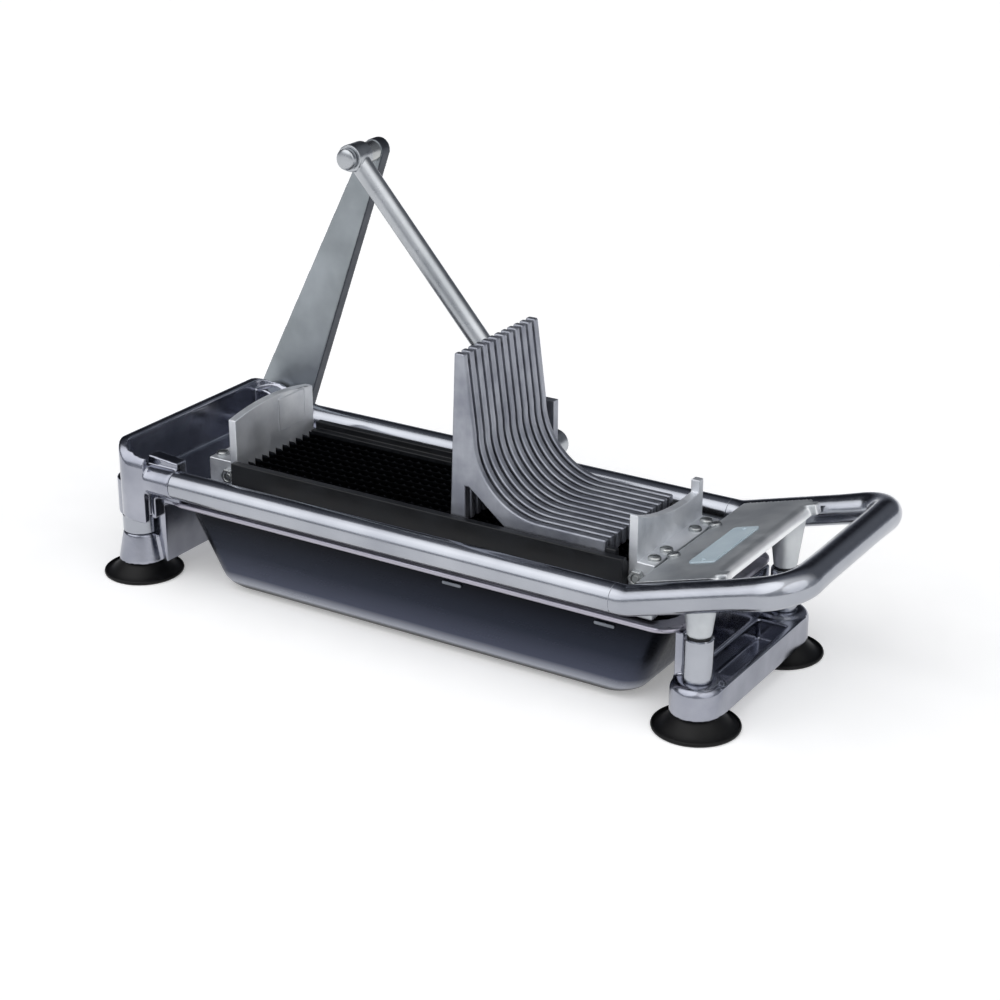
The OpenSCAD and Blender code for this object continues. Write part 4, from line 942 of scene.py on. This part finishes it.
# Catch pan. A deep pan pressed from stainless sheet, with a rolled rim that hangs on the
# ledges of the feet, sloping ends and a rounded bottom. Two small lugs sit on each side.
PAN_RIM_W = 6.0 * MM
PAN_RIM_T = 3.6 * MM
PAN_RIM_ARC = (-1.57, -1.05, -0.52, 0, 0.52, 1.05, 1.57)
PAN_T = 1.5 * MM
PAN_END_RUN = 24.0 * MM
PAN_SIDE_RUN = 6.0 * MM
PAN_CORNER = 14.0 * MM
PAN_BEND = 9.0 * MM
PAN_BEND_LEAN = 0.4
PAN_BEND_STOPS = (0, 18, 36, 54, 72, 90)
PAN_LIP = 3.0 * MM
PAN_MID_DROP = 22.0 * MM
PAN_CORNER_STEPS = 8
PAN_CLOUD_MM = 45
PAN_CLOUD_DRIFT = 0.008
PAN_STROKE_MM = (40, 0.9, 0.9)
PAN_ROUGHNESS = (0.26, 0.42)
LUG_SIZE = (12.0 * MM, 2.0 * MM, 2.0 * MM)
LUG_CORNER = 0.9 * MM
LUG_EASE = 0.5 * MM
LUG_DROP = 9.0 * MM
LUG_BEHIND_LOOP = (110.5 * MM, 18.5 * MM)
low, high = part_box("catch_pan")
middle = (low + high) / 2
depth = high.z - low.z
# Brushed stainless sheet, its tone painted by height: a dark blue grey wall whose painted shade deepens
# towards the rim, and a painted highlight on the rolled rim. A painted reflection runs as a bright line
# along the bottom bend, above a painted shadow on the underside. The brush's strokes run along the pan,
# drawn coarser than real ones so that they show.
pan_steel, tree = new_material("brushed_stainless_sheet")
place = add(tree, "ShaderNodeTexCoord").outputs["Object"]
height = add(tree, "ShaderNodeSeparateXYZ", {"Vector": place}).outputs["Z"]
wavy = add(tree, "ShaderNodeTexNoise", {"Vector": place, "Scale": 1000 / PAN_CLOUD_MM, "Detail": 3.0})
level = add(tree, "ShaderNodeMapRange", {"Value": height, "From Min": low.z, "From Max": high.z})
drift = add(tree, "ShaderNodeMapRange", {
    "Value": wavy.outputs["Fac"], "To Min": -PAN_CLOUD_DRIFT, "To Max": PAN_CLOUD_DRIFT})
level = add(tree, "ShaderNodeMath", {0: level.outputs["Result"], 1: drift.outputs["Result"]},
            operation="ADD")
# Painted light by height: a painted shadow on the underside, a painted reflection along the bottom bend,
# painted shade deepening up the wall to the rim, and a painted highlight on the rolled rim.
painted_light_ramp = add(tree, "ShaderNodeValToRGB", {"Fac": level.outputs["Value"]},
           [(0.065, "#0c0d10"), (0.115, "#a8abb4"), (0.22, "#4b4f5e"), (0.5, "#2b2f3a"), (0.89, "#101115"),
            (0.94, "#b0adb8")])
strokes = add(tree, "ShaderNodeMapping", {"Vector": place, "Scale": [1000 / s for s in PAN_STROKE_MM]})
lines = add(tree, "ShaderNodeTexNoise", {"Vector": strokes.outputs["Vector"], "Scale": 1.0, "Detail": 3.0})
gloss = add(tree, "ShaderNodeMapRange", {
    "Value": lines.outputs["Fac"], "From Min": NOISE_BAND[0], "From Max": NOISE_BAND[1],
    "To Min": PAN_ROUGHNESS[0], "To Max": PAN_ROUGHNESS[1]})
lit = add(tree, "ShaderNodeBsdfPrincipled", {
    "Base Color": painted_light_ramp.outputs["Color"], "Metallic": 1.0, "Roughness": gloss.outputs["Result"]})
add(tree, "ShaderNodeOutputMaterial", {"Surface": lit.outputs["BSDF"]})


def pan_ring(end_inset, side_inset, z, radius):
    """One closed line round the pan, inset from the rim's outer edge."""
    outline = round_rect((high.x - low.x) / 2 - end_inset, (high.y - low.y) / 2 - side_inset, radius,
                         PAN_CORNER_STEPS)
    return [(middle.x + x, middle.y + y, z) for x, y in outline]


def pan_wall(drop, inset):
    """End inset, side inset and height of the wall at a drop below the rim."""
    share = drop / depth
    return (PAN_RIM_W + inset + share * PAN_END_RUN, PAN_RIM_W + inset + share * PAN_SIDE_RUN, high.z - drop)


def pan_bend(inset, floor):
    """Rings round the bottom bend, from the wall to the floor."""
    rings = []
    radius = PAN_BEND - inset
    end, side, _ = pan_wall(high.z - floor - radius, inset)
    for turn in (math.radians(degrees) for degrees in PAN_BEND_STOPS):
        rings.append((end + radius * (1 - math.cos(turn)) + radius * PAN_BEND_LEAN * math.sin(turn),
                      side + radius * (1 - math.cos(turn)), floor + radius * (1 - math.sin(turn)),
                      PAN_CORNER))
    return rings


roll = PAN_RIM_T / 2
profile = [(roll * (1 - math.cos(a)), high.z - roll + roll * math.sin(a)) for a in PAN_RIM_ARC]
rings = [pan_ring(*ring) for ring in reversed(pan_bend(0, low.z))]
rings += [pan_ring(*pan_wall(drop, 0), PAN_CORNER)
          for drop in (PAN_MID_DROP, PAN_RIM_T + PAN_LIP, PAN_RIM_T)]
rings += [pan_ring(inset, inset, z, PAN_CORNER) for inset, z in profile]
rings += [pan_ring(*pan_wall(drop, PAN_T), PAN_CORNER - PAN_T) for drop in (0.0, PAN_MID_DROP)]
rings += [pan_ring(*ring) for ring in pan_bend(PAN_T, low.z + PAN_T)]
piece("catch_pan_sheet", smoothed(lofted(rings)), pan_steel, "pan", "stainless_steel", "catch_pan")
_, lug_inset, lug_z = pan_wall(LUG_DROP, 0)
lug_half = (high.y - low.y) / 2 - lug_inset
lugs = []
for back_by in LUG_BEHIND_LOOP:
    for side in (-1, 1):
        edge = round_rect(LUG_SIZE[0] / 2, LUG_SIZE[2] / 2, LUG_CORNER)
        lug = eased(slab(edge, -LUG_SIZE[1] / 2, LUG_SIZE[1] / 2), LUG_EASE)
        lug.transform(Matrix.Translation((bend_x - back_by, middle.y + side * lug_half, lug_z))
                      @ Matrix.Rotation(math.pi / 2, 4, "X"))
        lugs.append(lug)
# Bare stainless lugs: a plain mid grey that shows as two short light dashes under the rim.
lug_steel = metal("bare_stainless_lug", ("#6a6e75", "#7d8188"), patch_mm=12, grain_mm=(3, 3, 3),
                  roughness=(0.35, 0.5), wave_mm=6, wave_height_mm=0.02)
piece("pan_lug_set", joined(lugs), lug_steel, "pan", "stainless_steel")
